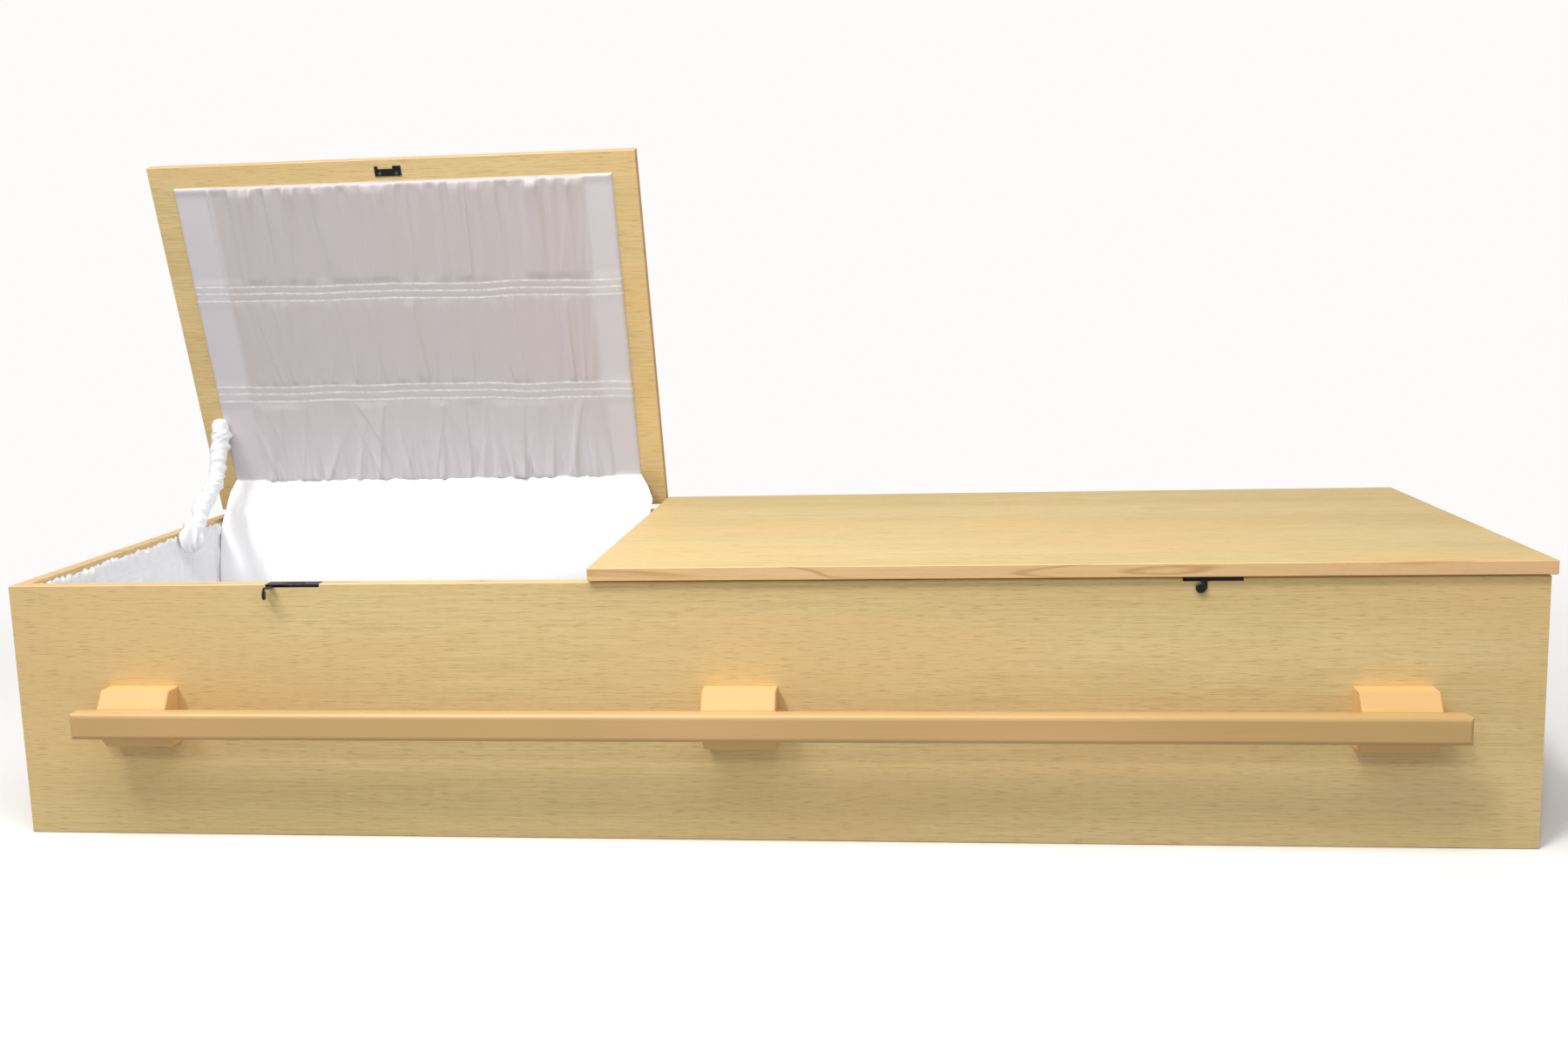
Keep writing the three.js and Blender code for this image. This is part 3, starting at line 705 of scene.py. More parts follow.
@dataclass(frozen=True)
class Gathers:
    """Folds that run out from one gathered line.

    Attributes:
        start: The line's place up the cloth.
        way: 1 where the folds run up from the line, -1 where they run down.
        limit: How far the folds can run.
        spacing: Mean distance between folds.
        height: How high the highest fold stands.
        reach: How far a usual fold runs before it has faded.
        fan: How far a usual fold leans aside over its run.
        residual: The share of a fold that stays to the end of its run.
        seed: Seed of the random choices.
        swell: How far from the line the folds have risen to their height.
        rare: 1 for folds of all heights, more for a few high folds among low ones.
    """

    start: float
    way: int
    limit: float
    spacing: float
    height: float
    reach: float
    fan: float
    residual: float
    seed: int
    swell: float = 0.004
    rare: float = 1.0

    def heights(self, across: Array, up: Array, span: Pair) -> Array:
        """How high the folds stand at each point.

        Args:
            across: Places across the cloth.
            up: Places up the cloth.
            span: The lowest and highest place across that has folds.

        Returns:
            Heights, in the same shape.
        """
        rng = np.random.default_rng(self.seed)
        low, high = span
        count = max(1, round((high - low) / self.spacing))
        pitch = (high - low) / count
        away = (up - self.start) * self.way
        total = np.zeros_like(across)
        for i in range(count):
            centre = low + (i + rng.uniform(0.1, 0.9)) * pitch
            width = pitch * rng.uniform(0.3, 0.75)
            sharp = rng.uniform(0.12, 0.35)
            run = self.reach * rng.uniform(0.4, 1.5)
            rise = self.height * rng.uniform(0.3, 1.0) ** self.rare
            lean = self.fan * rng.normal()
            curve = self.fan * rng.normal() * 0.5
            share = np.clip(away / self.limit, 0.0, 1.0)
            offset = across - centre - lean * share - curve * share**2
            side = np.where(offset * rng.choice([-1, 1]) > 0, width * sharp, width)
            side = side * (1.0 + 0.9 * share)
            fade = self.residual + (1.0 - self.residual) * np.exp(-((np.maximum(away, 0) / run) ** 1.5))
            total += rise * fade * bell(offset, side)
        sink, edge = 0.016, 0.006
        inside = smooth_step(away / self.swell) * smooth_step((self.limit - away) / sink)
        inside = inside * smooth_step((across - low) / edge) * smooth_step((high - across) / edge)
        return total * inside


@dataclass(frozen=True)
class StitchBand:
    """Rows of sewing across a panel.

    Attributes:
        rows: The rows' places up the panel.
        slope: How much higher the band's far end is than its near one.
        wave: How far the band wanders up and down.
        seed: Seed of the wandering.
    """

    rows: tuple[float, ...]
    slope: float
    wave: float
    seed: int

    @property
    def middle(self) -> float:
        """The band's place up the panel."""
        return sum(self.rows) / len(self.rows)


@dataclass(frozen=True)
class ShirredPanel:
    """A rectangle of shirred satin over thin wadding.

    Attributes:
        width: Size across.
        height: Size up.
        puff: How far the cloth stands off its board.
        margins: Widths of the flat strips at the near and the far side.
        bands: The rows of sewing.
        gathers: The folds.
        pitch: Distance between mesh points, across and up.
        frill: How unevenly the upper edge ends.
        seed: Seed of the soft unevenness.
        painted_seam_light: How far the cloth's colour turns to its lighter colour at the lower edge, a
            painted light.
        edge_turn: How far from its edges the cloth has risen fully.
        soft_edge: How far the flat strips fade into the shirred part.
        levelling: The share of a line's mean fold height that the line sinks by.
    """

    width: float
    height: float
    puff: float
    margins: Pair
    bands: tuple[StitchBand, ...]
    gathers: tuple[Gathers, ...]
    pitch: Pair
    frill: float = 0.0
    seed: int = 1
    painted_seam_light: float = 0.9
    edge_turn: float = 0.006
    soft_edge: float = 0.018
    levelling: float = 0.75

    @property
    def rows(self) -> list[float]:
        """The places of all rows of sewing."""
        return [row for band in self.bands for row in band.rows]

    def _lines(self) -> Array:
        """The mesh lines up the panel, closer together at each row of sewing and at both edges."""
        beside_row = np.array([0.0006, 0.0012, 0.0020, 0.0030])
        fine = np.concatenate([-beside_row[::-1], [0.0], beside_row])
        edge = np.array([0.0, 0.0008, 0.0022, 0.0042, 0.007])
        inset = 0.01
        least_apart = 0.00045
        lines = [np.arange(inset, self.height - inset, self.pitch[1]), edge, self.height - edge]
        lines.extend(row + fine for row in self.rows)
        every = np.sort(np.concatenate(lines))
        return every[np.concatenate([[True], np.diff(every) > least_apart])]

    def _sewing(self, across: Array, up: Array) -> Array:
        """How near each point is to a row of sewing, from 0 to 1."""
        half_width, stitch = 0.0018, 0.004
        usual, swing = 0.7, 0.3
        total = np.zeros_like(across)
        for band in self.bands:
            for number, row in enumerate(band.rows):
                beat = usual + swing * wander(across[0], stitch, band.seed + 7 * number)
                total += beat * bell(up - row, half_width)
        return np.clip(total, 0.0, 1.0)

    def _relief(self, across: Array, up: Array, shirred: Array) -> Array:
        """How far the cloth stands off the board.

        Args:
            across: Places across the panel.
            up: Places up the panel.
            shirred: How far each place is shirred, from 0 to 1.

        Returns:
            Heights, without the sewing thread.
        """
        pinch, pinch_reach = 0.8, 0.008
        groove, groove_reach = 0.0005, 0.0035
        billow, billow_length = 0.12, 0.11
        plain, fuller = 0.8, 0.2
        span = (self.margins[0], self.width - self.margins[1])
        folds = sum(g.heights(across, up, span) for g in self.gathers)
        for row in self.rows:
            folds = folds * (1.0 - pinch * bell(up - row, pinch_reach))
        folds = folds - self.levelling * folds.mean(axis=1, keepdims=True)
        billows = billow * wander(across[0], billow_length, self.seed)
        soft = 1.0 + billows * np.sin(up / self.height * math.pi)
        out = self.puff * soft * (plain + fuller * shirred) + folds
        for row in self.rows:
            out -= groove * bell(up - row, groove_reach)
        return out * edge_rise(across, up, (self.width, self.height), self.edge_turn)

    def _wandered(self, across: Array, up: Array) -> Array:
        """Places up the panel, once its rows of sewing and its upper edge wander."""
        band_reach, top_reach, frill_length = 0.045, 0.02, 0.006
        slow_length, quick_length, quick_share = 0.07, 0.009, 0.2
        moved = up.copy()
        for band in self.bands:
            slow = band.wave * wander(across[0], slow_length, band.seed)
            quick = quick_share * band.wave * wander(across[0], quick_length, band.seed + 3)
            drift = band.slope * (across / self.width - 0.5) + slow + quick
            moved += bell(up - band.middle, band_reach) * drift
        at_top = smooth_step((up - self.height + top_reach) / top_reach)
        return moved + at_top * self.frill * wander(across[0], frill_length, self.seed + 5)

    def build(self, name: str, plane: Plane) -> tuple[bpy.types.Object, Pair]:
        """Makes the panel.

        Args:
            name: The object's name.
            plane: Where it lies.

        Returns:
            The object, and the flat size of its cloth.
        """
        thread_height = 0.0009
        seam_reach = 0.45 * self.height
        line = spread(self.width, ends=(0.0, 0.0008, 0.0022, 0.0042), inset=0.007, pitch=self.pitch[0])
        across, up = np.meshgrid(line, self._lines())
        near, far = across - self.margins[0], self.width - self.margins[1] - across
        shirred = smooth_step(near / self.soft_edge) * smooth_step(far / self.soft_edge)
        sewn = self._sewing(across, up)
        out = self._relief(across, up, shirred) + thread_height * sewn
        points = plane.place(across, self._wandered(across, up), out)
        made = grid_object(name, points)
        mark(made, THREAD, sewn)
        # Painted light: lighter on the flat strips and towards the lower edge.
        seam_painted_share = self.painted_seam_light * smooth_step(1.0 - up / seam_reach)
        mark(made, PAINTED_LIGHT, np.maximum(1.0 - shirred, seam_painted_share))
        return made, cloth_cut(points)


# Pieces


@dataclass(frozen=True)
class Piece:
    """A sub-assembly that dresses or builds its pieces, with the effects that its finishes share."""

    effects: SharedEffects

    def dress(self, nodes: list[str], finish: Finish) -> None:
        """Gives CAD nodes a finish."""
        material = finish.material(self.effects)
        for name in nodes:
            mesh = frame["nodes"][name].data
            mesh.materials.clear()
            mesh.materials.append(material)
            log.info("%s: %s", name, finish.name)

    def dress_faces(self, node: str, finish: Finish, wanted: Callable[[Vector], bool]) -> None:
        """Gives some faces of a CAD node another finish.

        Args:
            node: The CAD node.
            finish: The finish for the chosen faces.
            wanted: Says from a face's normal whether the face is chosen.
        """
        mesh = frame["nodes"][node].data
        mesh.materials.append(finish.material(self.effects))
        for face in mesh.polygons:
            if wanted(face.normal):
                face.material_index = 1

    def add_cloth(self, made: bpy.types.Object, replaced: list[str], finish: Finish) -> None:
        """Dresses a built cloth and hides the CAD nodes that it stands for."""
        made.data.materials.append(finish.material(self.effects))
        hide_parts(*replaced)

    @staticmethod
    def declare_sheet(made: bpy.types.Object, cut: Pair, held: Held, rests_on: str | list[str]) -> None:
        """Logs a sheet's flat size."""
        log.info("%s: flat cloth %.3f by %.3f m", made.name, *cut)


class Boards(Piece):
    """The body's five boards and the two lids."""

    def build(self) -> None:
        """Veneer on the faces and solid lipping on the edges."""
        turn = Matrix.Rotation(LID_HINGE.open_angle, 3, "X")
        self.dress(["body_front", "body_back", "body_base", "head_lid", "foot_lid"], VENEER)
        self.dress(["body_head_end", "body_foot_end"], VENEER_ACROSS)
        for wall in ("body_front", "body_back", "body_head_end", "body_foot_end"):
            self.dress_faces(wall, LIPPING, lambda normal: normal.z > 0.5)
        self.dress_faces("foot_lid", LIPPING, lambda normal: abs(normal.z) < 0.9)
        self.dress_faces("head_lid", LIPPING, lambda normal: abs((turn @ normal).z) < 0.9)


class Handles(Piece):
    """The two rail handles."""

    def build(self) -> None:
        """Smooth pale wood on bars and blocks, the bars' wood darker with painted shade."""
        for side in ("front", "back"):
            blocks = [f"{side}_handle_block_{spot}" for spot in ("head", "middle", "foot")]
            self.dress(blocks, HANDLE_WOOD)
            self.dress([f"{side}_handle_bar"], SHADED_BAR_WOOD)


class Fittings(Piece):
    """Latches, keepers, hinges and the stay's links."""

    def build(self) -> None:
        """Black steel, with duller bare steel on the keepers' screws."""
        black = []
        for half in ("head", "foot"):
            black += [f"{half}_latch_case", f"{half}_latch_lever", f"{half}_lid_keeper"]
            for number in (1, 2):
                hinge = f"{half}_lid_hinge_{number}"
                black += [f"{hinge}_body_leaf", f"{hinge}_lid_leaf"]
        black += ["stay_lid_bracket", "stay_upper_link", "stay_lower_link", "stay_wall_bracket"]
        self.dress(black, BLACK_STEEL)
        screws = [f"{half}_keeper_screw_{number}" for half in ("head", "foot") for number in (1, 2)]
        self.dress(screws, SCREW_STEEL)


@dataclass(frozen=True)
class LidHinge:
    """The hinge line of the lids, and how far the head lid stands open at rest."""

    y: float
    z: float
    open_angle: float

    @staticmethod
    def from_frame() -> "LidHinge":
        """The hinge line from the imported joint."""
        joint = next(j for j in frame["joints"] if j["name"] == "head_lid_hinge")
        return LidHinge(joint["pos_m"][1], joint["pos_m"][2], math.radians(joint["range_deg"][1]))

    def plane(self, left: float, from_hinge: float, above: float, open_angle: float) -> Plane:
        """A plane on a lid's underside.

        Args:
            left: X of the plane's origin.
            from_hinge: Distance of the origin from the hinge line, along the lid.
            above: Distance of the plane above the hinge line, with the lid closed.
            open_angle: How far the lid is open.

        Returns:
            The plane, with up running away from the hinge and out running out of the underside.
        """
        turn = Matrix.Rotation(-open_angle, 3, "X")
        origin = turn @ Vector((0.0, -from_hinge, above))
        return Plane(
            Vector((left, self.y, self.z)) + origin,
            Vector((1.0, 0.0, 0.0)),
            turn @ Vector((0.0, -1.0, 0.0)),
            turn @ Vector((0.0, 0.0, -1.0)),
        )


LID_HINGE = LidHinge.from_frame()


@dataclass(frozen=True)
class LidLinings(Piece):
    """The shirred panels under both lids, their places measured from the hinge line."""

    back: float = 0.059
    front: float = 0.587
    upper_rows: Triple = (0.3915, 0.404, 0.416)
    lower_rows: Triple = (0.2125, 0.226, 0.2385)
    margins: Pair = (0.054, 0.044)
    above_hinge: float = 0.001
    puff: float = 0.0075

    def _panel(self, node: str, pitch: Pair, detail: float) -> ShirredPanel:
        """The panel for one lid.

        Args:
            node: The CAD node that it stands for.
            pitch: Distance between mesh points.
            detail: 1 for the lid that is seen, less for plainer folds.

        Returns:
            The panel.
        """
        low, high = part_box(node)
        top = self.front - self.back
        upper = tuple(row - self.back for row in self.upper_rows)
        lower = tuple(row - self.back for row in self.lower_rows)
        top_field, middle_field, low_field = top - upper[2], upper[0] - lower[2], lower[0]
        # Each line: start, way, limit, spacing, height, reach, fan, residual, seed, swell, rare.
        gathers = (
            (top, -1, top_field, 0.0225, 0.0078, 0.050, 0.006, 0.14, 11, 0.018),
            (top, -1, top_field, 0.023, 0.0026, 0.120, 0.012, 0.45, 12, 0.010),
            (upper[2], 1, top_field, 0.009, 0.0007, 0.022, 0.003, 0.05, 13),
            (upper[0], -1, middle_field, 0.017, 0.0013, 0.070, 0.008, 0.35, 14),
            (lower[2], 1, middle_field, 0.021, 0.0013, 0.060, 0.010, 0.20, 15),
            (lower[0], -1, low_field, 0.019, 0.0011, 0.060, 0.012, 0.30, 16),
            (0.0, 1, low_field, 0.019, 0.0056, 0.055, 0.016, 0.08, 17, 0.010),
            (0.0, 1, low_field, 0.034, 0.0036, 0.120, 0.034, 0.25, 18, 0.010),
            (0.0, 1, low_field, 0.013, 0.0062, 0.070, 0.030, 0.06, 19, 0.010, 3.0),
            (lower[2], 1, middle_field, 0.013, 0.0040, 0.080, 0.010, 0.25, 20, 0.006, 4.0),
            (top, -1, top_field, 0.013, 0.0044, 0.080, 0.010, 0.25, 24, 0.014, 4.0),
        )
        folds = [Gathers(*sizes) for sizes in gathers]
        folds = tuple(replace(fold, height=fold.height * detail) for fold in folds)
        bands = (
            StitchBand(upper, slope=-0.005, wave=0.0018, seed=21),
            StitchBand(lower, slope=-0.006, wave=0.0022, seed=22),
        )
        return ShirredPanel(high.x - low.x, top, self.puff, self.margins, bands, folds, pitch)

    def build(self) -> None:
        """Builds both panels on their lids."""
        jobs = (
            ("head_lid_lining", HEAD_LID, LID_HINGE.open_angle, (0.0017, 0.0032), 1.0),
            ("foot_lid_lining", FOOT_LID, 0.0, (0.0034, 0.0060), 0.7),
        )
        for node, body, angle, pitch, detail in jobs:
            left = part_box(node)[0].x
            plane = LID_HINGE.plane(left, self.back, self.above_hinge, angle)
            made, cut = self._panel(node, pitch, detail).build(f"{node}_satin", plane)
            # The lid linings get the darker satin copy, with painted shade.
            self.add_cloth(made, [node], SHADED_LINING_SATIN)
            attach(made, body)
            self.declare_sheet(made, cut, Held.GATHERED, node.removesuffix("_lining"))


@dataclass(frozen=True)
class WallLinings(Piece):
    """The shirred linings on the body's four walls."""

    puff: float = 0.0036
    upper_row_below_top: float = 0.028
    lower_row_below_top: float = 0.039
    corner_gap: float = 0.001
    frill: float = 0.0034

    def _panel(self, width: float, height: float, pitch: Pair, seed: int) -> ShirredPanel:
        """A wall's panel, gathered at its upper edge over two rows of sewing."""
        rows = (height - self.lower_row_below_top, height - self.upper_row_below_top)
        # Each line: start, way, limit, spacing, height, reach, fan, residual, seed.
        gathers = (
            (height, -1, self.upper_row_below_top, 0.012, 0.0050, 0.026, 0.003, 0.45, seed),
            (rows[0], -1, rows[0], 0.018, 0.0042, 0.110, 0.010, 0.40, seed + 1),
            (0.0, 1, rows[0], 0.024, 0.0020, 0.080, 0.014, 0.2, seed + 2),
        )
        folds = tuple(Gathers(*sizes) for sizes in gathers)
        bands = (StitchBand(rows, slope=0.0, wave=0.0009, seed=seed + 3),)
        return ShirredPanel(width, height, self.puff, (0.0, 0.0), bands, folds, pitch, self.frill, seed)

    def build(self) -> None:
        """Builds one panel on each wall."""
        left, right = Vector((-1.0, 0.0, 0.0)), Vector((1.0, 0.0, 0.0))
        front, back, up = Vector((0.0, -1.0, 0.0)), Vector((0.0, 1.0, 0.0)), Vector((0.0, 0.0, 1.0))
        jobs = (
            ("head_end", right, back, (0.0021, 0.0034), 41),
            ("foot_end", left, front, (0.0036, 0.0070), 45),
            ("front", back, left, (0.0042, 0.0070), 49),
            ("back", front, right, (0.0042, 0.0070), 53),
        )
        gap = self.corner_gap
        for wall, out, across, pitch, seed in jobs:
            node = f"{wall}_lining"
            low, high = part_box(node)
            corner = Vector([low[i] if (across + out)[i] > 0 else high[i] for i in range(3)])
            corner.z = low.z
            width = abs((high - low).dot(across)) - 2 * gap
            plane = Plane(corner + across * gap, across, up, out)
            made, cut = self._panel(width, high.z - low.z, pitch, seed).build(f"{node}_satin", plane)
            self.add_cloth(made, [node], WHITE_SATIN)
            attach(made, BODY)
            self.declare_sheet(made, cut, Held.GATHERED, f"body_{wall}")


@dataclass(frozen=True)
class FloorPad(Piece):
    """The thin pad that lies on the base board.

    Attributes:
        pitch: Distance between mesh points.
        edge_turn: How far from its edges the top has risen fully.
        sag: Depth of its dents.
        edge_share: The edge's height as a share of the CAD solid's.
        rise_share: How much the top rises from that, as a share too.
        thinnest: The least height anywhere.
        fill: How full it is, from 0, slack, to 1, tight; not used.
    """

    pitch: float = 0.006
    edge_turn: float = 0.007
    sag: float = 0.0015
    edge_share: float = 0.35
    rise_share: float = 0.45
    thinnest: float = 0.003
    fill: float = 0.7

    def build(self) -> None:
        """Builds a pad with a soft top and rounded edges."""
        node = "floor_lining"
        low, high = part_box(node)
        width, depth, thick = (high[i] - low[i] for i in range(3))
        ends = (0.0, 0.0004, 0.0015, 0.0035, 0.007)
        places = [spread(length, ends, inset=0.012, pitch=self.pitch) for length in (width, depth)]
        across, up = np.meshgrid(*places)
        rounded = edge_rise(across, up, (width, depth), self.edge_turn)
        creases = Gathers(
            start=0.0, way=1, limit=depth, spacing=0.05, height=0.0018,
            reach=0.30, fan=0.05, residual=0.4, seed=61,
        )
        folds = creases.heights(across, up, (0.0, width))
        dent_length, dent_width = 0.12, 0.1
        lengthwise = wander(across[0], dent_length, 62)
        dents = self.sag * lengthwise * wander(up[:, 0], dent_width, 63)[:, None]
        height = thick * (self.edge_share + self.rise_share * rounded) + (folds + dents) * rounded
        plane = Plane(low, *(Vector(axis) for axis in ((1, 0, 0), (0, 1, 0), (0, 0, 1))))
        top = plane.place(across, up, np.maximum(height, self.thinnest))
        made = self._close(top, plane.place(across, up, np.zeros_like(height)))
        self.add_cloth(made, [node], WHITE_SATIN)
        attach(made, BODY)
        log.info("%s: pad %.3f by %.3f m", made.name, width, depth)

    @staticmethod
    def _close(top: Array, base: Array) -> bpy.types.Object:
        """Joins the pad's top to the edge of its base and closes the underside."""
        rows, columns = top.shape[:2]
        index = np.arange(rows * columns).reshape(rows, columns)
        rim = np.concatenate([index[0], index[1:, -1], index[-1, -2::-1], index[-2:0:-1, 0]])
        low_rim = rows * columns + np.arange(len(rim))
        sides = np.column_stack([np.roll(rim, -1), rim, low_rim, np.roll(low_rim, -1)])
        faces = [*grid_faces(rows, columns), *sides.tolist(), low_rim[::-1].tolist()]
        points = np.vstack([top.reshape(-1, 3), base.reshape(-1, 3)[rim]])
        return mesh_object("floor_pad", points, faces)


@dataclass(frozen=True)
class Apron(Piece):
    """The cloth that falls from the head lid's lining over the hinge gap into the body.

    Attributes:
        run: Its points in the (Y, Z) plane, from the hem up to the lid lining.
        left: (Z, X) points of the left edge.
        right: (Z, X) points of the right edge.
        pitch: Distance between mesh points, across and along the run.
        slack: How far it sways off its run between hem and seam.
        bend: The two points between which it bends with the lid; not used.
    """

    run: tuple[Pair, ...] = (
        (0.2640, 0.120), (0.2450, 0.190), (0.2300, 0.245), (0.2380, 0.300),
        (0.2470, 0.345), (0.2590, 0.374), (0.2790, 0.397), (0.2940, 0.4175),
    )
    left: tuple[Pair, ...] = (
        (0.120, -0.9900), (0.340, -0.9895), (0.372, -0.9840), (0.399, -0.9860),
        (0.4175, -0.9800),
    )
    right: tuple[Pair, ...] = (
        (0.120, -0.228), (0.336, -0.226), (0.355, -0.221), (0.378, -0.218),
        (0.400, -0.230), (0.4175, -0.243),
    )
    pitch: Pair = (0.0022, 0.0026)
    slack: float = 0.003
    bend: tuple[Triple, Triple] = ((0.0, 0.25, 0.335), (0.0, 0.2905, 0.4055))

    def build(self) -> None:
        """Builds the apron."""
        length = float(np.linalg.norm(np.diff(np.array(self.run), axis=0), axis=1).sum())
        run = smooth_line(self.run, int(length / self.pitch[1]))
        left, right = (np.interp(run[:, 1], *zip(*edge))[:, None] for edge in (self.left, self.right))
        columns = int((self.right[0][1] - self.left[0][1]) / self.pitch[0])
        share = np.linspace(0.0, 1.0, columns)
        width = float(right[0, 0] - left[0, 0])
        across = np.repeat(share[None, :] * width, len(run), axis=0)
        up = np.repeat(np.linspace(0.0, length, len(run))[:, None], columns, axis=1)
        # Each line: start, way, limit, spacing, height, reach, fan, residual, seed, swell.
        gathers = (
            (length, -1, 0.12, 0.018, 0.0046, 0.034, 0.012, 0.05, 71, 0.008),
            (length, -1, 0.26, 0.034, 0.0026, 0.090, 0.030, 0.15, 72),
            (0.0, 1, length, 0.060, 0.0020, 0.200, 0.040, 0.25, 73),
        )
        rise = sum(Gathers(*sizes).heights(across, up, (0.0, width)) for sizes in gathers)
        rise += self.slack * wander(share * width, 0.09, 74)[None, :] * np.sin(up / length * math.pi)
        points = swept(left + (right - left) * share, run, rise)
        made = grid_object("apron_satin", points)
        self.add_cloth(made, ["apron"], WHITE_SATIN)
        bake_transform(made)
        self.declare_sheet(made, cloth_cut(points), Held.HUNG, "head_lid")


@dataclass(frozen=True)
class StaySleeve(Piece):
    """The gathered sleeve over the stay, with its loose frill at the wall end.

    Attributes:
        path: (Y, Z) points from the lid down to the wall.
        middle: (share of the path, X of its middle) pairs.
        radius: (share of the path, radius) pairs.
        flat: How much narrower it is along X than in the stay's plane.
        steps: Mesh points along it and around it.
        lumps: How many lumps its ruching has.
        frill_start: Share of the path where its frill starts.
        bend: The two points between which it bends at the stay's elbow; not used.
    """

    path: tuple[Pair, ...] = (
        (0.2600, 0.5320), (0.2585, 0.5180), (0.2560, 0.4980), (0.2390, 0.4560),
        (0.2215, 0.4240), (0.1780, 0.3890), (0.1480, 0.3680), (0.1260, 0.3570),
        (0.1150, 0.3450), (0.1140, 0.3320), (0.1190, 0.3200),
    )
    middle: tuple[Pair, ...] = ((0.0, -0.9840), (0.68, -0.9830), (0.82, -0.9750), (1.0, -0.9730))
    radius: tuple[Pair, ...] = (
        (0.0, 0.0020), (0.004, 0.0075), (0.012, 0.0118), (0.024, 0.0145),
        (0.045, 0.0160), (0.10, 0.0160), (0.16, 0.0140), (0.30, 0.0140),
        (0.42, 0.0125), (0.48, 0.0130), (0.62, 0.0145), (0.70, 0.0130),
        (0.76, 0.0115), (0.82, 0.0170), (0.90, 0.0190), (0.95, 0.0140),
        (1.0, 0.0030),
    )
    flat: float = 0.9
    steps: tuple[int, int] = (460, 72)
    lumps: int = 100
    frill_start: float = 0.86
    bend: tuple[Triple, Triple] = ((0.0, 0.232, 0.436), (0.0, 0.205, 0.405))

    def build(self) -> None:
        """Builds the sleeve, seamed along its back."""
        steps, around = self.steps
        share = np.linspace(0.0, 1.0, steps)
        angle = np.linspace(0.0, 2.0 * math.pi, around)
        radius = np.interp(share, *zip(*self.radius))[:, None] * self._ruching(share, angle)
        middle = np.interp(share, *zip(*self.middle))[:, None]
        side = radius * np.sin(angle) * self.flat
        points = swept(middle + side, smooth_line(self.path, steps), radius * np.cos(angle))
        made = grid_object("stay_sleeve_satin", points)
        self.add_cloth(made, ["stay_sleeve_upper", "stay_sleeve_lower"], WHITE_SATIN)
        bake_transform(made)
        links = ["stay_upper_link", "stay_lower_link"]
        self.declare_sheet(made, cloth_cut(points), Held.GATHERED, links)

    def _ruching(self, share: Array, angle: Array) -> Array:
        """Uneven rings of gathered cloth, and the frill's flare.

        Args:
            share: Shares of the path.
            angle: Angles around it.

        Returns:
            Factors for the radius, shape (shares, angles).
        """
        rng = np.random.default_rng(81)
        full_turn = 2.0 * math.pi
        lump_height, between_lumps = 0.20, 0.94
        cap_end, cap_fade = 0.03, 0.09
        flare_depth, flare_waves, flare_turn, flare_fade = 0.34, 8, 0.6, 0.05
        lumps = np.zeros((len(share), len(angle)))
        for _ in range(self.lumps):
            centre = rng.uniform(0.02, 0.95)
            width = rng.uniform(0.008, 0.024)
            tilt = rng.uniform(0.004, 0.060)
            phase = rng.uniform(0.0, full_turn)
            reach = (0.5 + 0.5 * np.cos(angle - rng.uniform(0.0, full_turn))) ** 2
            offset = share[:, None] - centre - tilt * np.cos(angle - phase)[None, :]
            lumps += lump_height * rng.uniform(0.3, 1.0) * reach[None, :] * bell(offset, width)
        past_cap = smooth_step((share - cap_end) / cap_fade)[:, None]
        flare = smooth_step((share - self.frill_start) / flare_fade)[:, None]
        waves = np.cos(flare_waves * angle + flare_turn)[None, :]
        return between_lumps + lumps * past_cap + flare * flare_depth * waves


# Stage, light and camera


@dataclass(frozen=True)
class CameraView:
    """The photo's viewing position.

    Attributes:
        position: Where the camera stands.
        yaw: Turn to the left of straight ahead, in degrees.
        pitch: Tilt above level, in degrees.
        roll: Turn about the line of sight, in degrees.
        lens: Focal length in mm on a 36 mm sensor.
        shift: Lens shift across and up.
    """

    position: Triple = (0.2385, -2.0726, 0.7365)
    yaw: float = 5.758
    pitch: float = -7.649
    roll: float = -1.627
    lens: float = 31.94
    shift: Pair = (0.00268, -0.03196)

    def build(self) -> None:
        """Makes the scene's camera."""
        data = bpy.data.cameras.new("photo_camera")
        data.sensor_width = 36.0
        data.lens = self.lens
        data.shift_x, data.shift_y = self.shift
        camera = bpy.data.objects.new("photo_camera", data)
        bpy.context.scene.collection.objects.link(camera)
        yaw, pitch, roll = (math.radians(a) for a in (self.yaw, self.pitch, self.roll))
        level = math.cos(pitch)
        ahead = Vector((-math.sin(yaw) * level, math.cos(yaw) * level, math.sin(pitch)))
        right = Vector((math.cos(yaw), math.sin(yaw), 0.0))
        above = right.cross(ahead)
        rolled_right = right * math.cos(roll) + above * math.sin(roll)
        rolled_up = above * math.cos(roll) - right * math.sin(roll)
        axes = Matrix((rolled_right, rolled_up, -ahead)).transposed().to_4x4()
        camera.matrix_world = Matrix.Translation(self.position) @ axes
        bpy.context.scene.camera = camera


@dataclass(frozen=True)
class Sun:
    """A distant light: its strength, its softness in degrees and the direction that it comes from."""

    name: str
    strength: float
    softness: float
    source: Triple


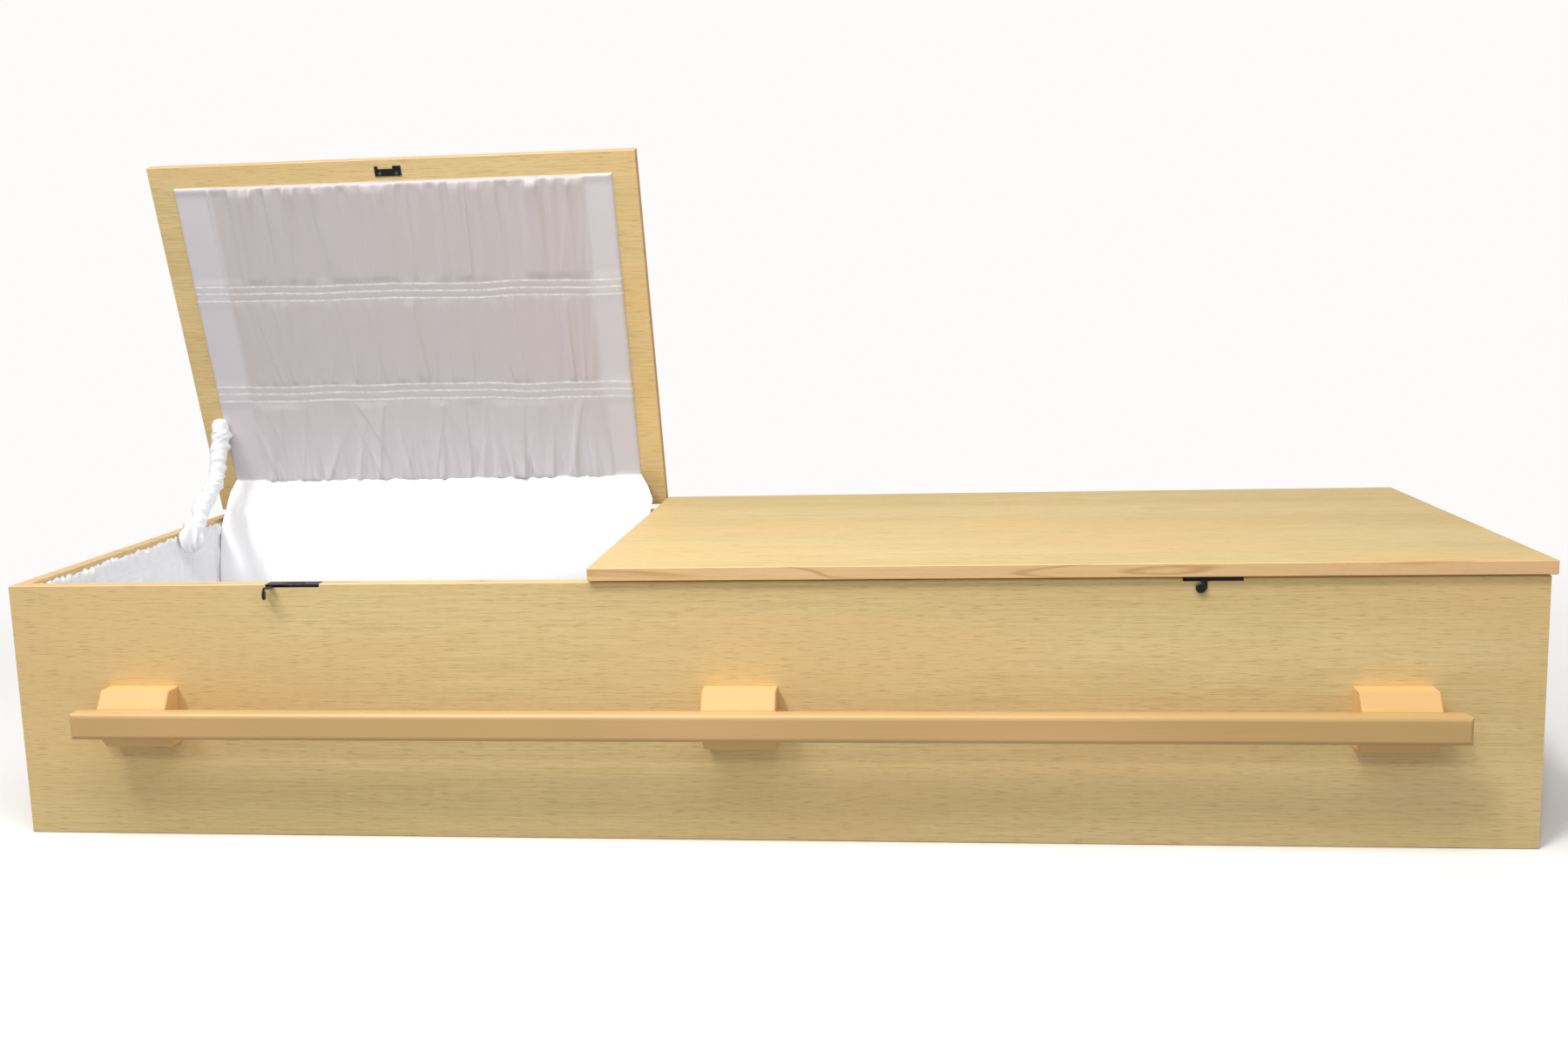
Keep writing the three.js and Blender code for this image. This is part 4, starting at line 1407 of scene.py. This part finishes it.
@dataclass(frozen=True)
class StudioLight:
    """Two soft lights from the front left, a fill from the front and a panel light above the front.

    Attributes:
        surround: Brightness of the surround as a light.
        backdrop: Brightness of the surround where the camera sees it.
        suns: The distant lights.
        panel_power: Power of the panel light.
        panel_place: Where the panel light hangs.
        panel_size: Its size along X and Y.
    """

    surround: float = 0.34
    backdrop: float = 0.98
    suns: tuple[Sun, ...] = (
        Sun("key_light", 0.55, 5.0, (-0.45, -1.0, 0.85)),
        Sun("high_light", 0.92, 10.0, (-1.07, -1.0, 2.4)),
        Sun("fill_light", 0.24, 80.0, (0.7, -1.0, 0.35)),
    )
    panel_power: float = 28.0
    panel_place: Triple = (-0.25, -0.9, 1.9)
    panel_size: Pair = (2.2, 0.5)

    @staticmethod
    def _add(data: bpy.types.Light, source: Vector) -> bpy.types.Object:
        """Adds one light that shines away from its source's direction."""
        light = bpy.data.objects.new(data.name, data)
        light.rotation_mode = "QUATERNION"
        light.rotation_quaternion = source.to_track_quat("Z", "Y")
        bpy.context.scene.collection.objects.link(light)
        return light

    def build(self) -> None:
        """Makes the lights and the surround."""
        for sun in self.suns:
            data = bpy.data.lights.new(sun.name, "SUN")
            data.energy = sun.strength
            data.angle = math.radians(sun.softness)
            self._add(data, Vector(sun.source))
        panel = bpy.data.lights.new("panel_light", "AREA")
        panel.shape = "RECTANGLE"
        panel.size, panel.size_y = self.panel_size
        panel.energy = self.panel_power
        self._add(panel, Vector((0.0, 0.0, 1.0))).location = self.panel_place
        world = bpy.data.worlds.new("studio")
        world.use_nodes = True
        world.node_tree.nodes.clear()
        graph = NodeGraph(world.node_tree)
        seen = graph.add("ShaderNodeLightPath").outputs["Is Camera Ray"]
        extra = graph.math("MULTIPLY", seen, self.backdrop - self.surround)
        strength = graph.math("ADD", extra, self.surround)
        inputs = {"Color": SURROUND_TINT, "Strength": strength}
        background = graph.add("ShaderNodeBackground", inputs).outputs[0]
        graph.add("ShaderNodeOutputWorld", {"Surface": background})
        bpy.context.scene.world = world


@dataclass(frozen=True)
class Floor(Piece):
    """The plain floor, just below the casket's underside."""

    reach: float = 60.0
    below: float = 0.0002

    def build(self) -> None:
        """Makes the floor."""
        ends = np.array([-self.reach, self.reach])
        x, y = np.meshgrid(ends, ends)
        floor = grid_object("studio_floor", np.stack([x, y, np.full_like(x, -self.below)], axis=-1))
        floor.data.materials.append(FloorFinish().material(self.effects))


def main() -> None:
    """Builds the scene."""
    effects = SharedEffects()
    for piece in (Boards, Handles, Fittings, LidLinings, WallLinings, FloorPad, Apron, StaySleeve, Floor):
        piece(effects).build()
        log.info("built %s", piece.__name__)
    StudioLight().build()
    CameraView().build()
    bpy.context.scene.view_settings.view_transform = "Standard"
    bpy.context.view_layer.update()


if __name__ == "__main__":
    main()
